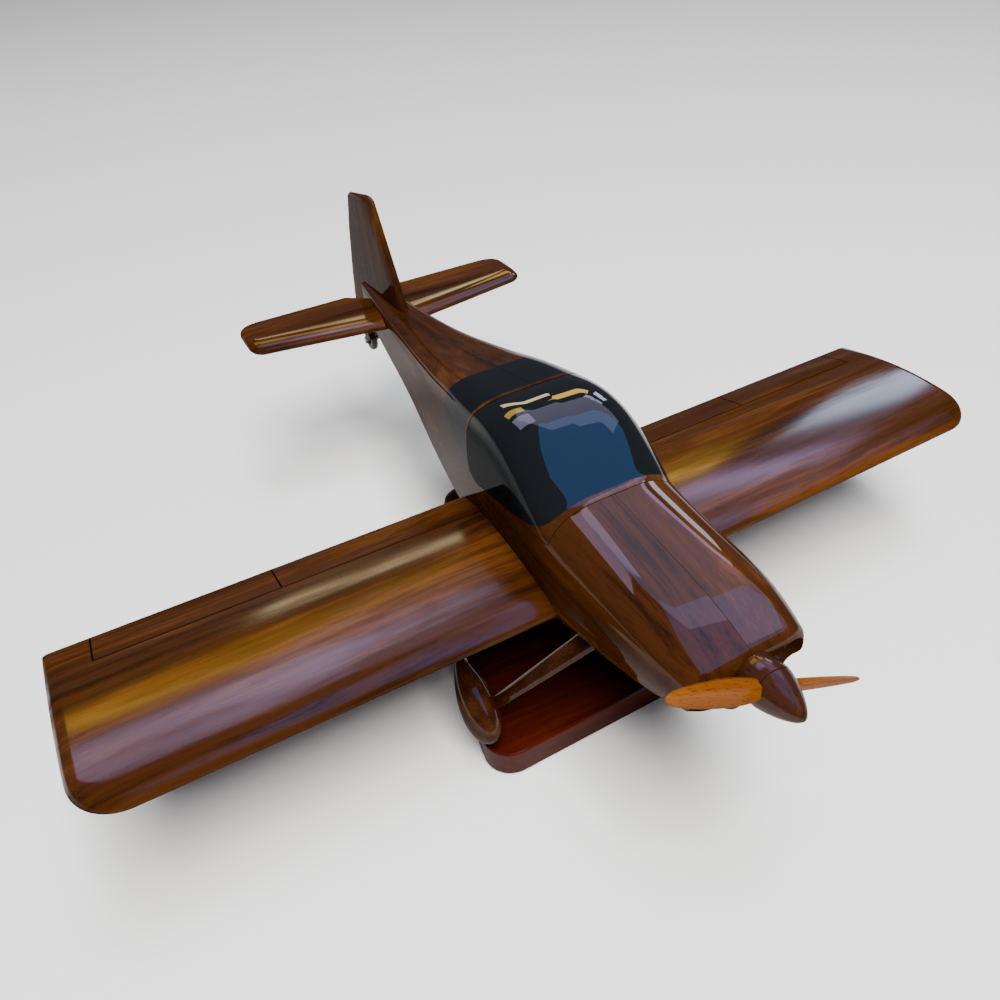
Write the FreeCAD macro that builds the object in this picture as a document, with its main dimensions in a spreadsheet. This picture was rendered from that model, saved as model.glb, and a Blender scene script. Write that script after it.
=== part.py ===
import FreeCAD, Part
import Sketcher
import math
import os

# A carved mahogany desk model of a two-seat low-wing propeller aeroplane, lifted on a post
# over a shield-shaped base.  Row frame: X across the span (+X is the model's left wing),
# the nose points to -Y, Z is up and Z = 0 is the underside of the felt.
# "Station" is the distance aft of the wing's leading edge and "level" is the height over
# it, so Y = wing_le_y + station and Z = wing_level + level.

V = FreeCAD.Vector
doc = FreeCAD.newDocument("propeller_plane_model")
sheet = doc.addObject("Spreadsheet::Sheet", "Dimensions")

DIMENSIONS = {
    "wing_le_y": (-87.45, "wing leading edge, place along Y"),
    "wing_level": (68, "wing leading edge, height over the table"),
    "half_span": (190, "centreline to wing tip"),
    "wing_chord": (80.4, "leading to trailing edge"),
    "wing_nose_radius": (4, "leading edge radius"),
    "wing_crown_radius": (157, "arc of the upper surface"),
    "wing_tail_thickness": (1.4, "trailing edge thickness"),
    "wing_root_inset": (15, "root face before it is fitted to the fuselage"),
    "wing_tip_rise": (1.9, "dihedral, rise at the tip"),
    "tip_front_radius": (15, "plan radius, front corner of the tip"),
    "tip_rear_radius": (4, "plan radius, rear corner of the tip"),
    "aileron_inner": (108.3, "aileron, inner end"),
    "aileron_outer": (174, "aileron, outer end"),
    "aileron_station": (62.8, "aileron and flap hinge line"),
    "aileron_line_level": (1.75, "bottom of the hinge line's groove at the root"),
    "aileron_slope": (15.8, "fall of the wing's top behind the hinge line"),
    "groove_width": (0.5, "engraved line, width"),
    "groove_depth": (0.6, "engraved line, depth"),
    "tail_level": (20.9, "tailplane mid level"),
    "tail_half_span": (73.4, "centreline to tailplane tip"),
    "tail_root_station": (190.6, "tailplane leading edge at the root"),
    "tail_sweep": (12.4, "leading edge sweep, root to tip"),
    "tail_rear_station": (233.7, "tailplane trailing edge"),
    "tail_thickness": (6, "tailplane board"),
    "tail_edge_radius": (2.4, "rounding of the tail boards' edges"),
    "tail_notch_station": (220, "tailplane, inner rear corner at the root"),
    "tail_notch_x": (15.5, "tailplane, where the cut-back corner starts"),
    "fin_thickness": (5.6, "fin board"),
    "fin_front_station": (181.5, "fin, foot of its leading edge"),
    "fin_top_front_station": (212.5, "fin, top of its leading edge"),
    "fin_top_rear_station": (247.5, "rudder, top of its trailing edge"),
    "rudder_line_station": (231, "engraved rudder hinge line"),
    "fin_top_level": (78, "top of the fin"),
    "rudder_end_station": (263.5, "rearmost point of the rudder"),
    "spinner_level": (19.8, "propeller axis"),
    "spinner_tip_station": (-88.6, "spinner tip"),
    "spinner_joint_station": (-74.4, "joint between backplate and cone"),
    "spinner_back_station": (-66.1, "rear of the backplate"),
    "spinner_nose_radius": (1.8, "rounded tip of the spinner"),
    "spinner_bow_radius": (26, "bow of the spinner's side"),
    "spinner_radius": (7.75, "spinner at the joint"),
    "blade_reach": (46.5, "axis to blade tip"),
    "blade_turn": (29, "rest angle of the propeller from level"),
    "blade_pitch": (28, "blade angle to the disc"),
    "shaft_radius": (1.25, "steel propeller pin"),
    "shaft_clearance": (0.05, "radial running clearance on pins"),
    "gear_track": (59.2, "centreline to each wheel"),
    "wheel_station": (5, "main wheel axle"),
    "wheel_level": (-48.1, "main wheel axle"),
    "wheel_radius": (7, "main wheel"),
    "wheel_width": (4.4, "main wheel"),
    "axle_radius": (0.9, "main wheel axle"),
    "wheel_room": (0.6, "air round the wheel in its spat"),
    "tailwheel_station": (249.5, "tail wheel axle"),
    "tailwheel_level": (-14.6, "tail wheel axle"),
    "tailwheel_radius": (6.4, "tail wheel"),
    "tailwheel_width": (3.6, "tail wheel"),
    "base_top": (12.5, "base, height of its top"),
    "felt_thickness": (1, "felt under the base"),
    "base_front_station": (-8, "base, front edge"),
    "base_rear_station": (150, "base, rear point"),
    "base_half_width": (61, "base, half width at the front corners"),
    "base_corner_radius": (11, "base, front corners and rear point"),
    "base_side_radius": (400, "base, curve of the long sides"),
    "post_station": (62, "post and peg"),
    "post_radius": (6.5, "stem of the post"),
    "post_foot_radius": (14, "foot of the post"),
    "post_gap": (0.4, "air between post and ferrule"),
    "peg_radius": (2.5, "peg"),
    "peg_reach": (20, "peg above the post"),
    "ferrule_radius": (4, "brass ferrule in the belly"),
    "dowel_radius": (3, "wing dowels"),
    "dowel_reach": (62, "wing dowels, centreline to each end"),
    "dowel_front_station": (16, "front wing dowel"),
    "dowel_rear_station": (42, "rear wing dowel"),
    "dowel_level": (0.7, "wing dowels"),
    "canopy_front_level": (28, "canopy block, front lower corner"),
    "shaft_sunk": (-46, "station where the propeller pin ends inside the nose"),
    "pin_head_radius": (2.4, "propeller pin head"),
    "washer_radius": (5, "brass washer behind the backplate"),
    "blade_station": (-75, "middle of the blade roots"),
    "inlet_x": (14.5, "cooling inlets in the nose"),
    "inlet_level": (13.5, "cooling inlets in the nose"),
    "inlet_width": (6.8, "inlet, half width"),
    "inlet_height": (6.4, "inlet, half height"),
    "inlet_depth": (7, "inlet, depth"),
    "scoop_station": (-52, "chin scoop"),
    "scoop_level": (-1.5, "chin scoop"),
    "scoop_half_width": (6.5, "chin scoop"),
    "scoop_half_length": (12, "chin scoop"),
    "scoop_depth": (5.6, "chin scoop"),
    "pin_radius": (1.5, "small dowels"),
    "fin_dowel_length": (18, "fin dowels"),
    "fin_dowel_front": (196, "front fin dowel"),
    "fin_dowel_rear": (222, "rear fin dowel"),
    "fin_dowel_level": (18.5, "lower end of the fin dowels"),
    "fin_foot_level": (20, "foot of the fin board"),
    "rudder_top_level": (70.2, "rudder, top of its trailing edge"),
    "rudder_heel_level": (9, "rudder, lower end of its trailing edge"),
    "rudder_foot_level": (5, "rudder, lower edge"),
    "tail_root_x": (2, "tailplane root before it is fitted to the fuselage"),
    "tail_dowel_reach": (24, "tailplane dowel, centreline to end"),
    "tail_dowel_station": (209, "tailplane dowel"),
    "strut_station": (226, "tail wheel strut, where it leaves the fuselage"),
    "strut_level": (4, "tail wheel strut, where it leaves the fuselage"),
    "strut_radius": (1.3, "tail wheel strut"),
    "strut_length": (34, "axle to the strut's upper end"),
    "fork_reach": (7.4, "axle to the fork's crown"),
    "fork_depth": (3.4, "fork"),
    "fork_ear": (1.2, "thickness of the fork's ears"),
    "fork_gap": (0.4, "air beside the tail wheel"),
    "fork_crown_height": (2, "fork"),
    "tail_axle_radius": (0.7, "tail wheel axle"),
    "axle_length": (11, "main wheel axle"),
    "leg_head_x": (19, "gear leg, upper end inside the fuselage"),
    "leg_head_station": (-14.4, "gear leg, upper end"),
    "leg_head_level": (0.1, "gear leg, upper end"),
    "leg_head_chord": (11.8, "gear leg, fore-and-aft width at the top"),
    "leg_head_thickness": (3.6, "gear leg, thickness at the top"),
    "leg_foot_x": (56, "gear leg, lower end inside the spat"),
    "leg_foot_station": (9.7, "gear leg, lower end"),
    "leg_foot_level": (-45.5, "gear leg, lower end"),
    "leg_foot_chord": (6, "gear leg, fore-and-aft width at the foot"),
    "leg_foot_thickness": (2.8, "gear leg, thickness at the foot"),
    "base_easing": (1, "base, eased top edge"),
    "felt_inset": (2, "felt, edge set in from the base"),
    "post_head_radius": (5, "post, top"),
    "post_foot_height": (5, "post, foot"),
    "post_cove_radius": (3, "post, cove round its foot"),
    "peg_sunk": (16, "peg inside the post"),
    "ferrule_lip": (0.6, "ferrule rim under the belly"),
    "ferrule_rim_radius": (6, "ferrule rim"),
    "ferrule_top_level": (6, "ferrule, blind end"),
    "screw_radius": (1.75, "post screw"),
    "screw_head_radius": (3.8, "post screw head"),
    "screw_head_height": (2, "post screw head"),
    "screw_head_level": (3, "underside of the screw head"),
    "screw_length": (26, "post screw"),
}
SPAT = {  # station, level, half width, half height of the wheel spat's sections
    "nose": (-4, -45.5, 0.3, 0.4),
    "lip": (-2.9, -45.4, 3, 4.1),
    "brow": (-0.5, -45.2, 4.9, 6.8),
    "shoulder": (3.3, -44.2, 6.4, 8.9),
    "belly": (8.3, -42, 7, 9.7),
    "waist": (13.5, -38.3, 6.3, 8.8),
    "tail": (18.8, -33.3, 4.3, 6),
    "point": (23, -28.6, 1.8, 2.5),
    "tip": (25.3, -25.5, 0.2, 0.3),
}
BLADE = {  # distance from the axis, chord, thickness of the blade's sections
    "root": (4, 5.8, 3.2),
    "neck": (9, 7.2, 3.2),
    "heart": (18, 8.4, 2.8),
    "middle": (29, 7.9, 2.3),
    "outer": (39, 6.2, 1.8),
    "end": (44.5, 4, 1.3),
    "tip": (46.5, 0.8, 0.6),
}
RINGS = {  # station, half width, top level, bottom level, shoulder radius, chine radius
    "lip": (-65, 23, 26, 3, 7.5, 13.5),
    "cowl": (-50, 26.5, 30.5, -2.2, 11.5, 17),
    "firewall": (-25, 28.5, 33.5, -8.6, 15.5, 18),
    "windscreen": (9, 29.3, 37, -14.6, 18, 15),
    "brow": (24, 28.9, 47, -16.5, 17, 11),
    "cabin": (42, 28, 54, -17, 15, 9),
    "rollbar": (66, 26.4, 52, -17, 13, 8),
    "window": (92, 24, 46, -15.5, 11, 7),
    "waist": (125, 19.6, 38, -12, 9, 6),
    "tailcone": (165, 13.2, 31.5, -5.5, 7, 5),
    "stern": (206, 8, 27.5, 0, 5, 4),
    "tailpost": (240, 3.4, 24.5, 6, 2.4, 2),
}

cells = list(DIMENSIONS.items())
TABLES = (
    ("{name}_{field}", RINGS, ("station", "half_width", "top", "bottom", "shoulder", "chine")),
    ("spat_{name}_{field}", SPAT, ("station", "level", "half_width", "half_height")),
    ("blade_{name}_{field}", BLADE, ("reach", "chord", "thickness")),
)
for pattern, table, fields in TABLES:
    for name, values in table.items():
        for field, value in zip(fields, values):
            alias = pattern.format(name=name, field=field)
            cells.append((alias, (value, alias.replace("_", " "))))
for row, (alias, (value, note)) in enumerate(cells, 1):
    sheet.set(f"A{row}", note)
    sheet.set(f"B{row}", str(value))
    sheet.setAlias(f"B{row}", alias)
doc.recompute()


def number(expression):
    """The value of an expression over the sheet's aliases."""
    return float(sheet.evalExpression(expression))


def bound(expression):
    """The same expression as another object of the document has to write it."""
    words = expression.replace("(", " ( ").replace(")", " ) ").split()
    return " ".join(f"Dimensions.{w}" if w[0].isalpha() else w for w in words)


def bind(target, path, expression):
    target.setExpression(path, bound(expression))


def place(target, x, y, z, axis=V(0, 0, 1), angle=0):
    """Put an object at sheet expressions, turned about an axis."""
    target.Placement = FreeCAD.Placement(V(number(x), number(y), number(z)), FreeCAD.Rotation(axis, angle))
    for path, expression in (("x", x), ("y", y), ("z", z)):
        bind(target, f"Placement.Base.{path}", expression)


def primitive(kind, name, **sizes):
    piece = doc.addObject(f"Part::{kind}", name)
    for path, expression in sizes.items():
        setattr(piece, path, number(expression))
        bind(piece, path, expression)
    return piece


def cylinder(name, radius, length, x, y, z, along="Z"):
    """A round bar that starts at x, y, z and runs along a row axis."""
    turns = {"X": (V(0, 1, 0), 90), "Y": (V(1, 0, 0), -90), "Z": (V(0, 0, 1), 0)}
    bar = primitive("Cylinder", name, Radius=radius, Height=length)
    place(bar, x, y, z, *turns[along])
    return bar


def boolean(kind, name, base, *tools):
    """Cut or fuse the tools one after another, or keep what is common."""
    for count, tool in enumerate(tools):
        result = doc.addObject(f"Part::{kind}", name if count == len(tools) - 1 else f"{name}_{count}")
        result.Base, result.Tool = base, tool
        base = result
    return base


def plane_of(body, role):
    return next(plane for plane in body.Origin.OriginFeatures if plane.Role == role)


def new_sketch(body, name, role, offset="0"):
    """A sketch on one of its body's own planes, moved along the plane's normal."""
    sketch = body.newObject("Sketcher::SketchObject", name)
    sketch.AttachmentSupport = [(plane_of(body, role), "")]
    sketch.MapMode = "FlatFace"
    sketch.AttachmentOffset = FreeCAD.Placement(V(0, 0, number(offset)), FreeCAD.Rotation())
    bind(sketch, "AttachmentOffset.Base.z", offset)
    return sketch


def constrain(sketch, kind, *args, size=None):
    """Add a constraint, and bind its value to the sheet when it has one."""
    if size is None:
        return sketch.addConstraint(Sketcher.Constraint(kind, *args))
    index = sketch.addConstraint(Sketcher.Constraint(kind, *args, number(size)))
    bind(sketch, f"Constraints[{index}]", size)
    return index


def line(sketch, start, end):
    return sketch.addGeometry(Part.LineSegment(V(*start, 0), V(*end, 0)), False)


def arc(sketch, centre, radius, start, end):
    circle = Part.Circle(V(*centre, 0), V(0, 0, 1), radius)
    return sketch.addGeometry(Part.ArcOfCircle(circle, math.radians(start), math.radians(end)), False)


def outline(sketch, points):
    """A closed run of straight lines, each corner bound to a pair of sheet expressions."""
    corners = [(number(u), number(v)) for u, v in points]
    edges = [line(sketch, corner, corners[(i + 1) % len(corners)]) for i, corner in enumerate(corners)]
    for i, edge in enumerate(edges):
        constrain(sketch, "Coincident", edge, 2, edges[(i + 1) % len(edges)], 1)
    for edge, (u, v) in zip(edges, points):
        constrain(sketch, "DistanceX", -1, 1, edge, 1, size=u)
        constrain(sketch, "DistanceY", -1, 1, edge, 1, size=v)
    return edges


def pad(body, name, sketch, length, midplane=False):
    feature = body.newObject("PartDesign::Pad", name)
    feature.Profile = sketch
    feature.Length = number(length)
    bind(feature, "Length", length)
    feature.SideType = "Symmetric" if midplane else "One side"
    return feature


def loft(body, name, sketches):
    feature = body.newObject("PartDesign::AdditiveLoft", name)
    feature.Profile = sketches[0]
    feature.Sections = sketches[1:]
    return feature


def new_body(name):
    return doc.addObject("PartDesign::Body", name)


# ---------------------------------------------------------------- fuselage blank
def ring_sketch(body, ring):
    """A soft box across the fuselage: flat sides, round shoulders and chines."""
    sketch = new_sketch(body, f"ring_{ring}", "XZ_Plane", f"0 - wing_le_y - {ring}_station")
    wide = number(f"{ring}_half_width")
    top = number(f"wing_level + {ring}_top")
    bottom = number(f"wing_level + {ring}_bottom")
    high, low = number(f"{ring}_shoulder"), number(f"{ring}_chine")
    loop = [
        line(sketch, (low - wide, bottom), (wide - low, bottom)),
        arc(sketch, (wide - low, bottom + low), low, 270, 360),
        line(sketch, (wide, bottom + low), (wide, top - high)),
        arc(sketch, (wide - high, top - high), high, 0, 90),
        line(sketch, (wide - high, top), (high - wide, top)),
        arc(sketch, (high - wide, top - high), high, 90, 180),
        line(sketch, (-wide, top - high), (-wide, bottom + low)),
        arc(sketch, (low - wide, bottom + low), low, 180, 270),
    ]
    for i, edge in enumerate(loop):
        constrain(sketch, "Tangent", edge, 2, loop[(i + 1) % len(loop)], 1)
    for edge, kind in ((0, "Horizontal"), (2, "Vertical"), (4, "Horizontal"), (6, "Vertical")):
        constrain(sketch, kind, loop[edge])
    for edge, field in ((1, "chine"), (3, "shoulder"), (5, "shoulder"), (7, "chine")):
        constrain(sketch, "Radius", loop[edge], size=f"{ring}_{field}")
    constrain(sketch, "DistanceX", -1, 1, loop[2], 1, size=f"{ring}_half_width")
    constrain(sketch, "DistanceX", loop[6], 1, -1, 1, size=f"{ring}_half_width")
    constrain(sketch, "DistanceY", -1, 1, loop[0], 1, size=f"wing_level + {ring}_bottom")
    constrain(sketch, "DistanceY", -1, 1, loop[4], 1, size=f"wing_level + {ring}_top")
    return sketch


blank = new_body("fuselage_blank")
loft(blank, "fuselage_loft", [ring_sketch(blank, ring) for ring in RINGS])
doc.recompute()

# ---------------------------------------------------------------- wings
def wing_sketch(body, name, offset, rise):
    """Wing section: round nose, one long arc over the top, flat underside."""
    sketch = new_sketch(body, name, "YZ_Plane", offset)
    nose, crown = number("wing_nose_radius"), number("wing_crown_radius")
    front, level = number("wing_le_y"), number(f"wing_level + {rise}")
    rear = number("wing_le_y + wing_chord")
    heel = level - nose
    brow = heel + number("wing_tail_thickness")
    centre = crown_centre(front + nose, level, nose, rear, brow, crown)
    tangent = math.degrees(math.atan2(level - centre[1], front + nose - centre[0]))
    tail = math.degrees(math.atan2(brow - centre[1], rear - centre[0]))
    under = line(sketch, (front + nose, heel), (rear, heel))
    edge = line(sketch, (rear, heel), (rear, brow))
    over = arc(sketch, centre, crown, tail, tangent)
    round_nose = arc(sketch, (front + nose, level), nose, tangent, 270)
    constrain(sketch, "Coincident", under, 2, edge, 1)
    constrain(sketch, "Coincident", edge, 2, over, 1)
    constrain(sketch, "Tangent", over, 2, round_nose, 1)
    constrain(sketch, "Tangent", round_nose, 2, under, 1)
    constrain(sketch, "Horizontal", under)
    constrain(sketch, "Vertical", edge)
    constrain(sketch, "Radius", round_nose, size="wing_nose_radius")
    constrain(sketch, "Radius", over, size="wing_crown_radius")
    constrain(sketch, "DistanceY", edge, size="wing_tail_thickness")
    constrain(sketch, "DistanceY", -1, 1, round_nose, 3, size=f"wing_level + {rise}")
    constrain(sketch, "DistanceX", round_nose, 3, -1, 1, size="0 - wing_le_y - wing_nose_radius")
    constrain(sketch, "DistanceX", edge, 1, -1, 1, size="0 - wing_le_y - wing_chord")
    return sketch


def crown_centre(nose_y, nose_z, nose, rear, brow, crown):
    """Centre of the arc of radius crown that touches the nose circle from outside it
    and ends at the trailing edge's top corner."""
    reach, inner = crown, crown - nose
    gap = math.hypot(rear - nose_y, brow - nose_z)
    along = (inner ** 2 - reach ** 2 + gap ** 2) / (2 * gap)
    down = math.sqrt(inner ** 2 - along ** 2)
    uy, uz = (rear - nose_y) / gap, (brow - nose_z) / gap
    return nose_y + along * uy + down * uz, nose_z + along * uz - down * uy


def wing_plan(name, side):
    """Plan of one wing, a board with a round front tip corner and a small rear one."""
    body = new_body(name)
    sketch = new_sketch(body, f"{name}_outline", "XY_Plane", "wing_level - 20")
    tip, root = number("half_span") * side, number("wing_root_inset") * side
    front, rear = number("wing_le_y"), number("wing_le_y + wing_chord")
    big, small = number("tip_front_radius"), number("tip_rear_radius")
    turned = side < 0
    corner = arc(sketch, (tip - side * big, front + big), big, *((180, 270) if turned else (270, 360)))
    heel = arc(sketch, (tip - side * small, rear - small), small, *((90, 180) if turned else (0, 90)))
    nose = line(sketch, (root, front), (tip - side * big, front))
    end = line(sketch, (tip, front + big), (tip, rear - small))
    tail = line(sketch, (tip - side * small, rear), (root, rear))
    close = line(sketch, (root, rear), (root, front))
    front_end, far_end = (2, 1) if turned else (1, 2)
    constrain(sketch, "Tangent", nose, 2, corner, front_end)
    constrain(sketch, "Tangent", corner, far_end, end, 1)
    constrain(sketch, "Tangent", end, 2, heel, front_end)
    constrain(sketch, "Tangent", heel, far_end, tail, 1)
    constrain(sketch, "Coincident", tail, 2, close, 1)
    constrain(sketch, "Coincident", close, 2, nose, 1)
    for edge, kind in ((nose, "Horizontal"), (end, "Vertical"), (tail, "Horizontal"), (close, "Vertical")):
        constrain(sketch, kind, edge)
    constrain(sketch, "Radius", corner, size="tip_front_radius")
    constrain(sketch, "Radius", heel, size="tip_rear_radius")
    ends = (-1, 1, end, 1) if side > 0 else (end, 1, -1, 1)
    roots = (-1, 1, close, 1) if side > 0 else (close, 1, -1, 1)
    constrain(sketch, "DistanceX", *ends, size="half_span")
    constrain(sketch, "DistanceX", *roots, size="wing_root_inset")
    constrain(sketch, "DistanceY", nose, 1, -1, 1, size="0 - wing_le_y")
    constrain(sketch, "DistanceY", tail, 2, -1, 1, size="0 - wing_le_y - wing_chord")
    pad(body, f"{name}_pad", sketch, "40")
    return body


def groove(name, x, y, z, length, width, axis=V(0, 0, 1), angle=0):
    """A thin bar that an engraved line is cut with; it stands well over the surface."""
    bar = primitive("Box", name, Length=length, Width=width, Height="groove_depth + 3")
    place(bar, x, y, z, axis, angle)
    return bar


def wing_grooves(word, side):
    """The flap and aileron hinge line along the wing, and the aileron's two ends."""
    dihedral = math.degrees(math.atan2(number("wing_tip_rise"), number("half_span - wing_root_inset")))
    run = "aileron_outer - wing_root_inset"
    start = "wing_root_inset" if side > 0 else "0 - aileron_outer"
    rise = "0" if side > 0 else "wing_tip_rise * aileron_outer / half_span"
    bars = [groove(
        f"{word}_hinge_line", start, "wing_le_y + aileron_station",
        f"wing_level + aileron_line_level + {rise}", run, "groove_width", V(0, 1, 0), -side * dihedral)]
    for end in ("aileron_inner", "aileron_outer"):
        x = end if side > 0 else f"0 - {end}"
        bars.append(groove(
            f"{word}_{end}_line", x, "wing_le_y + aileron_station",
            f"wing_level + aileron_line_level + wing_tip_rise * {end} / half_span",
            "groove_width", "wing_chord - aileron_station + 4", V(1, 0, 0), -number("aileron_slope")))
    return bars


wing_dowels = [
    cylinder(f"wing_dowel_{name}", "dowel_radius", "2 * dowel_reach", "0 - dowel_reach",
             f"wing_le_y + {station}", "wing_level + dowel_level", "X")
    for name, station in (("front", "dowel_front_station"), ("rear", "dowel_rear_station"))
]
wings = {}
for side, word in ((1, "left"), (-1, "right")):
    body = new_body(f"{word}_wing_blank")
    inner, outer = (("" if side > 0 else "0 - ") + name for name in ("wing_root_inset", "half_span"))
    sections = [
        wing_sketch(body, f"{word}_wing_root", inner, "0"),
        wing_sketch(body, f"{word}_wing_end", outer, "wing_tip_rise"),
    ]
    loft(body, f"{word}_wing_loft", sections)
    board = boolean("Common", f"{word}_wing_board", body, wing_plan(f"{word}_wing_plan", side))
    wings[word] = boolean("Cut", f"{word}_wing", board, blank, *wing_dowels, *wing_grooves(word, side))

# ---------------------------------------------------------------- canopy and fuselage
canopy_cut = new_body("canopy_cut")
canopy_profile = new_sketch(canopy_cut, "canopy_profile", "YZ_Plane")
outline(canopy_profile, [
    (f"wing_le_y + {station}", f"wing_level + {level}")
    for station, level in (
        ("windscreen_station", "60"), ("windscreen_station", "canopy_front_level"),
        ("48", "19.5"), ("64", "18"), ("72", "21.5"), ("72.5", "31"), ("rollbar_station", "46"),
        ("rollbar_station", "60"))
])
pad(canopy_cut, "canopy_cut_pad", canopy_profile, "80", midplane=True)
canopy = boolean("Common", "canopy_block", blank, canopy_cut)

shaft = cylinder("propeller_pin_shank", "shaft_radius", "shaft_sunk - spinner_joint_station", "0",
                 "wing_le_y + spinner_joint_station - 0.6", "wing_level + spinner_level", "Y")
ferrule_top = "wing_level + ferrule_top_level"
belly = "wing_level + rollbar_bottom"
post_y = "wing_le_y + post_station"
ferrule_seat = cylinder("ferrule_seat", "ferrule_radius", f"{ferrule_top} - ( {belly} ) + 20",
                        "0", post_y, f"{belly} - 20")
fin_dowels = [
    cylinder(f"fin_dowel_{name}", "pin_radius", "fin_dowel_length", "0", f"wing_le_y + {station}",
             "wing_level + fin_dowel_level")
    for name, station in (("front", "fin_dowel_front"), ("rear", "fin_dowel_rear"))
]
tail_dowel = cylinder("tailplane_dowel", "pin_radius", "2 * tail_dowel_reach", "0 - tail_dowel_reach",
                      "wing_le_y + tail_dowel_station", "wing_level + tail_level", "X")
strut_lean = math.degrees(math.atan2(
    number("tailwheel_station - strut_station"), number("strut_level - tailwheel_level")))


def from_tail_axle(name, radius, length):
    """A bar that leans from the tail wheel's axle up to the fuselage."""
    bar = primitive("Cylinder", name, Radius=radius, Height=length)
    place(bar, "0", "wing_le_y + tailwheel_station", "wing_level + tailwheel_level", V(1, 0, 0), strut_lean)
    return bar


strut_seat = from_tail_axle("strut_seat", "strut_radius", "strut_length")
for side, word in ((1, "left"), (-1, "right")):
    half = primitive("Box", f"{word}_half_space", Length="40", Width="400", Height="120")
    place(half, "0" if side > 0 else "0 - 40", "wing_le_y - 90", "wing_level - 40")
    inlet = primitive("Ellipsoid", f"{word}_inlet_tool", Radius1="inlet_height", Radius2="inlet_width",
                      Radius3="inlet_depth")
    place(inlet, "inlet_x" if side > 0 else "0 - inlet_x", "wing_le_y + lip_station",
          "wing_level + inlet_level")
    shell = boolean("Common", f"{word}_shell", blank, half)
    boolean("Cut", f"fuselage_{word}_half", shell, canopy_cut, inlet, shaft, ferrule_seat, *wing_dowels,
            *fin_dowels, tail_dowel, strut_seat)

scoop_blob = primitive("Ellipsoid", "chin_scoop_blob", Radius1="scoop_depth", Radius2="scoop_half_width",
                       Radius3="scoop_half_length")
place(scoop_blob, "0", "wing_le_y + scoop_station", "wing_level + scoop_level")
boolean("Cut", "chin_scoop", scoop_blob, blank)

# ---------------------------------------------------------------- tail
def rims(shape, axis, values, tolerance=0.01):
    """Names of the edges that lie wholly at one of the given values along an axis."""
    names = []
    for count, edge in enumerate(shape.Edges, 1):
        box = edge.BoundBox
        low, high = getattr(box, f"{axis}Min"), getattr(box, f"{axis}Max")
        if any(abs(low - value) < tolerance and abs(high - value) < tolerance for value in values):
            names.append(f"Edge{count}")
    return names


def round_rims(body, name, axis, values, radius):
    doc.recompute()
    solid = body.Tip
    feature = body.newObject("PartDesign::Fillet", name)
    feature.Base = (solid, rims(solid.Shape, axis, values))
    feature.Radius = number(radius)
    bind(feature, "Radius", radius)
    return feature


def tail_board(name, side):
    """One tailplane half: a swept board with rounded edges and a cut-back inner corner."""
    body = new_body(name)
    sketch = new_sketch(body, f"{name}_plan", "XY_Plane", "wing_level + tail_level")
    sign = "" if side > 0 else "0 - "
    outline(sketch, [(f"{sign}{x}", f"wing_le_y + {station}") for x, station in (
        ("tail_root_x", "tail_root_station"),
        ("tail_half_span", "tail_root_station + tail_sweep"),
        ("tail_half_span", "tail_rear_station"),
        ("tail_notch_x", "tail_rear_station"),
        ("tail_root_x", "tail_notch_station"),
    )])
    pad(body, f"{name}_pad", sketch, "tail_thickness", midplane=True)
    middle, half = number("wing_level + tail_level"), number("tail_thickness / 2")
    round_rims(body, f"{name}_rounding", "Z", [middle - half, middle + half], "tail_edge_radius")
    return body


for side, word in ((1, "left"), (-1, "right")):
    boolean("Cut", f"{word}_tailplane", tail_board(f"{word}_tail_board", side), blank, tail_dowel)

fin_board = new_body("fin_board")
fin_profile = new_sketch(fin_board, "fin_profile", "YZ_Plane")
outline(fin_profile, [(f"wing_le_y + {station}", f"wing_level + {level}") for station, level in (
    ("fin_front_station", "fin_foot_level"),
    ("fin_top_front_station", "fin_top_level"),
    ("fin_top_rear_station", "rudder_top_level"),
    ("rudder_end_station", "rudder_heel_level"),
    ("rudder_end_station - 8", "rudder_foot_level"),
    ("tailpost_station", "rudder_foot_level"),
    ("tailpost_station", "fin_foot_level"),
)])
pad(fin_board, "fin_board_pad", fin_profile, "fin_thickness", midplane=True)
round_rims(fin_board, "fin_board_rounding", "X", [number("fin_thickness / 2"), number("0 - fin_thickness / 2")],
           "tail_edge_radius")
rudder_lines = []
for side, word in ((1, "left"), (-1, "right")):
    bar = primitive("Box", f"{word}_rudder_line", Length="3", Width="groove_width", Height="70")
    face = "fin_thickness / 2 - groove_depth"
    place(bar, face if side > 0 else f"0 - ( {face} ) - 3",
          "wing_le_y + rudder_line_station", "wing_level + fin_foot_level")
    rudder_lines.append(bar)
boolean("Cut", "fin_and_rudder", fin_board, blank, *fin_dowels, *rudder_lines)

# ---------------------------------------------------------------- main gear
ALONG_Y = FreeCAD.Rotation(V(0, 0, 1), V(1, 0, 0), V(0, 1, 0), "ZXY")


def ellipse(name, long_radius, short_radius, x, y, z, rotation):
    """An ellipse whose long radius lies along the rotation's own X."""
    curve = primitive("Ellipse", name, MajorRadius=long_radius, MinorRadius=short_radius)
    place(curve, x, y, z)
    curve.Placement = FreeCAD.Placement(curve.Placement.Base, rotation)
    return curve


def skin(name, sections):
    """A smooth solid through a row of ellipses."""
    solid = doc.addObject("Part::Loft", name)
    solid.Sections = sections
    solid.Solid = True
    solid.Ruled = False
    return solid


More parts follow.
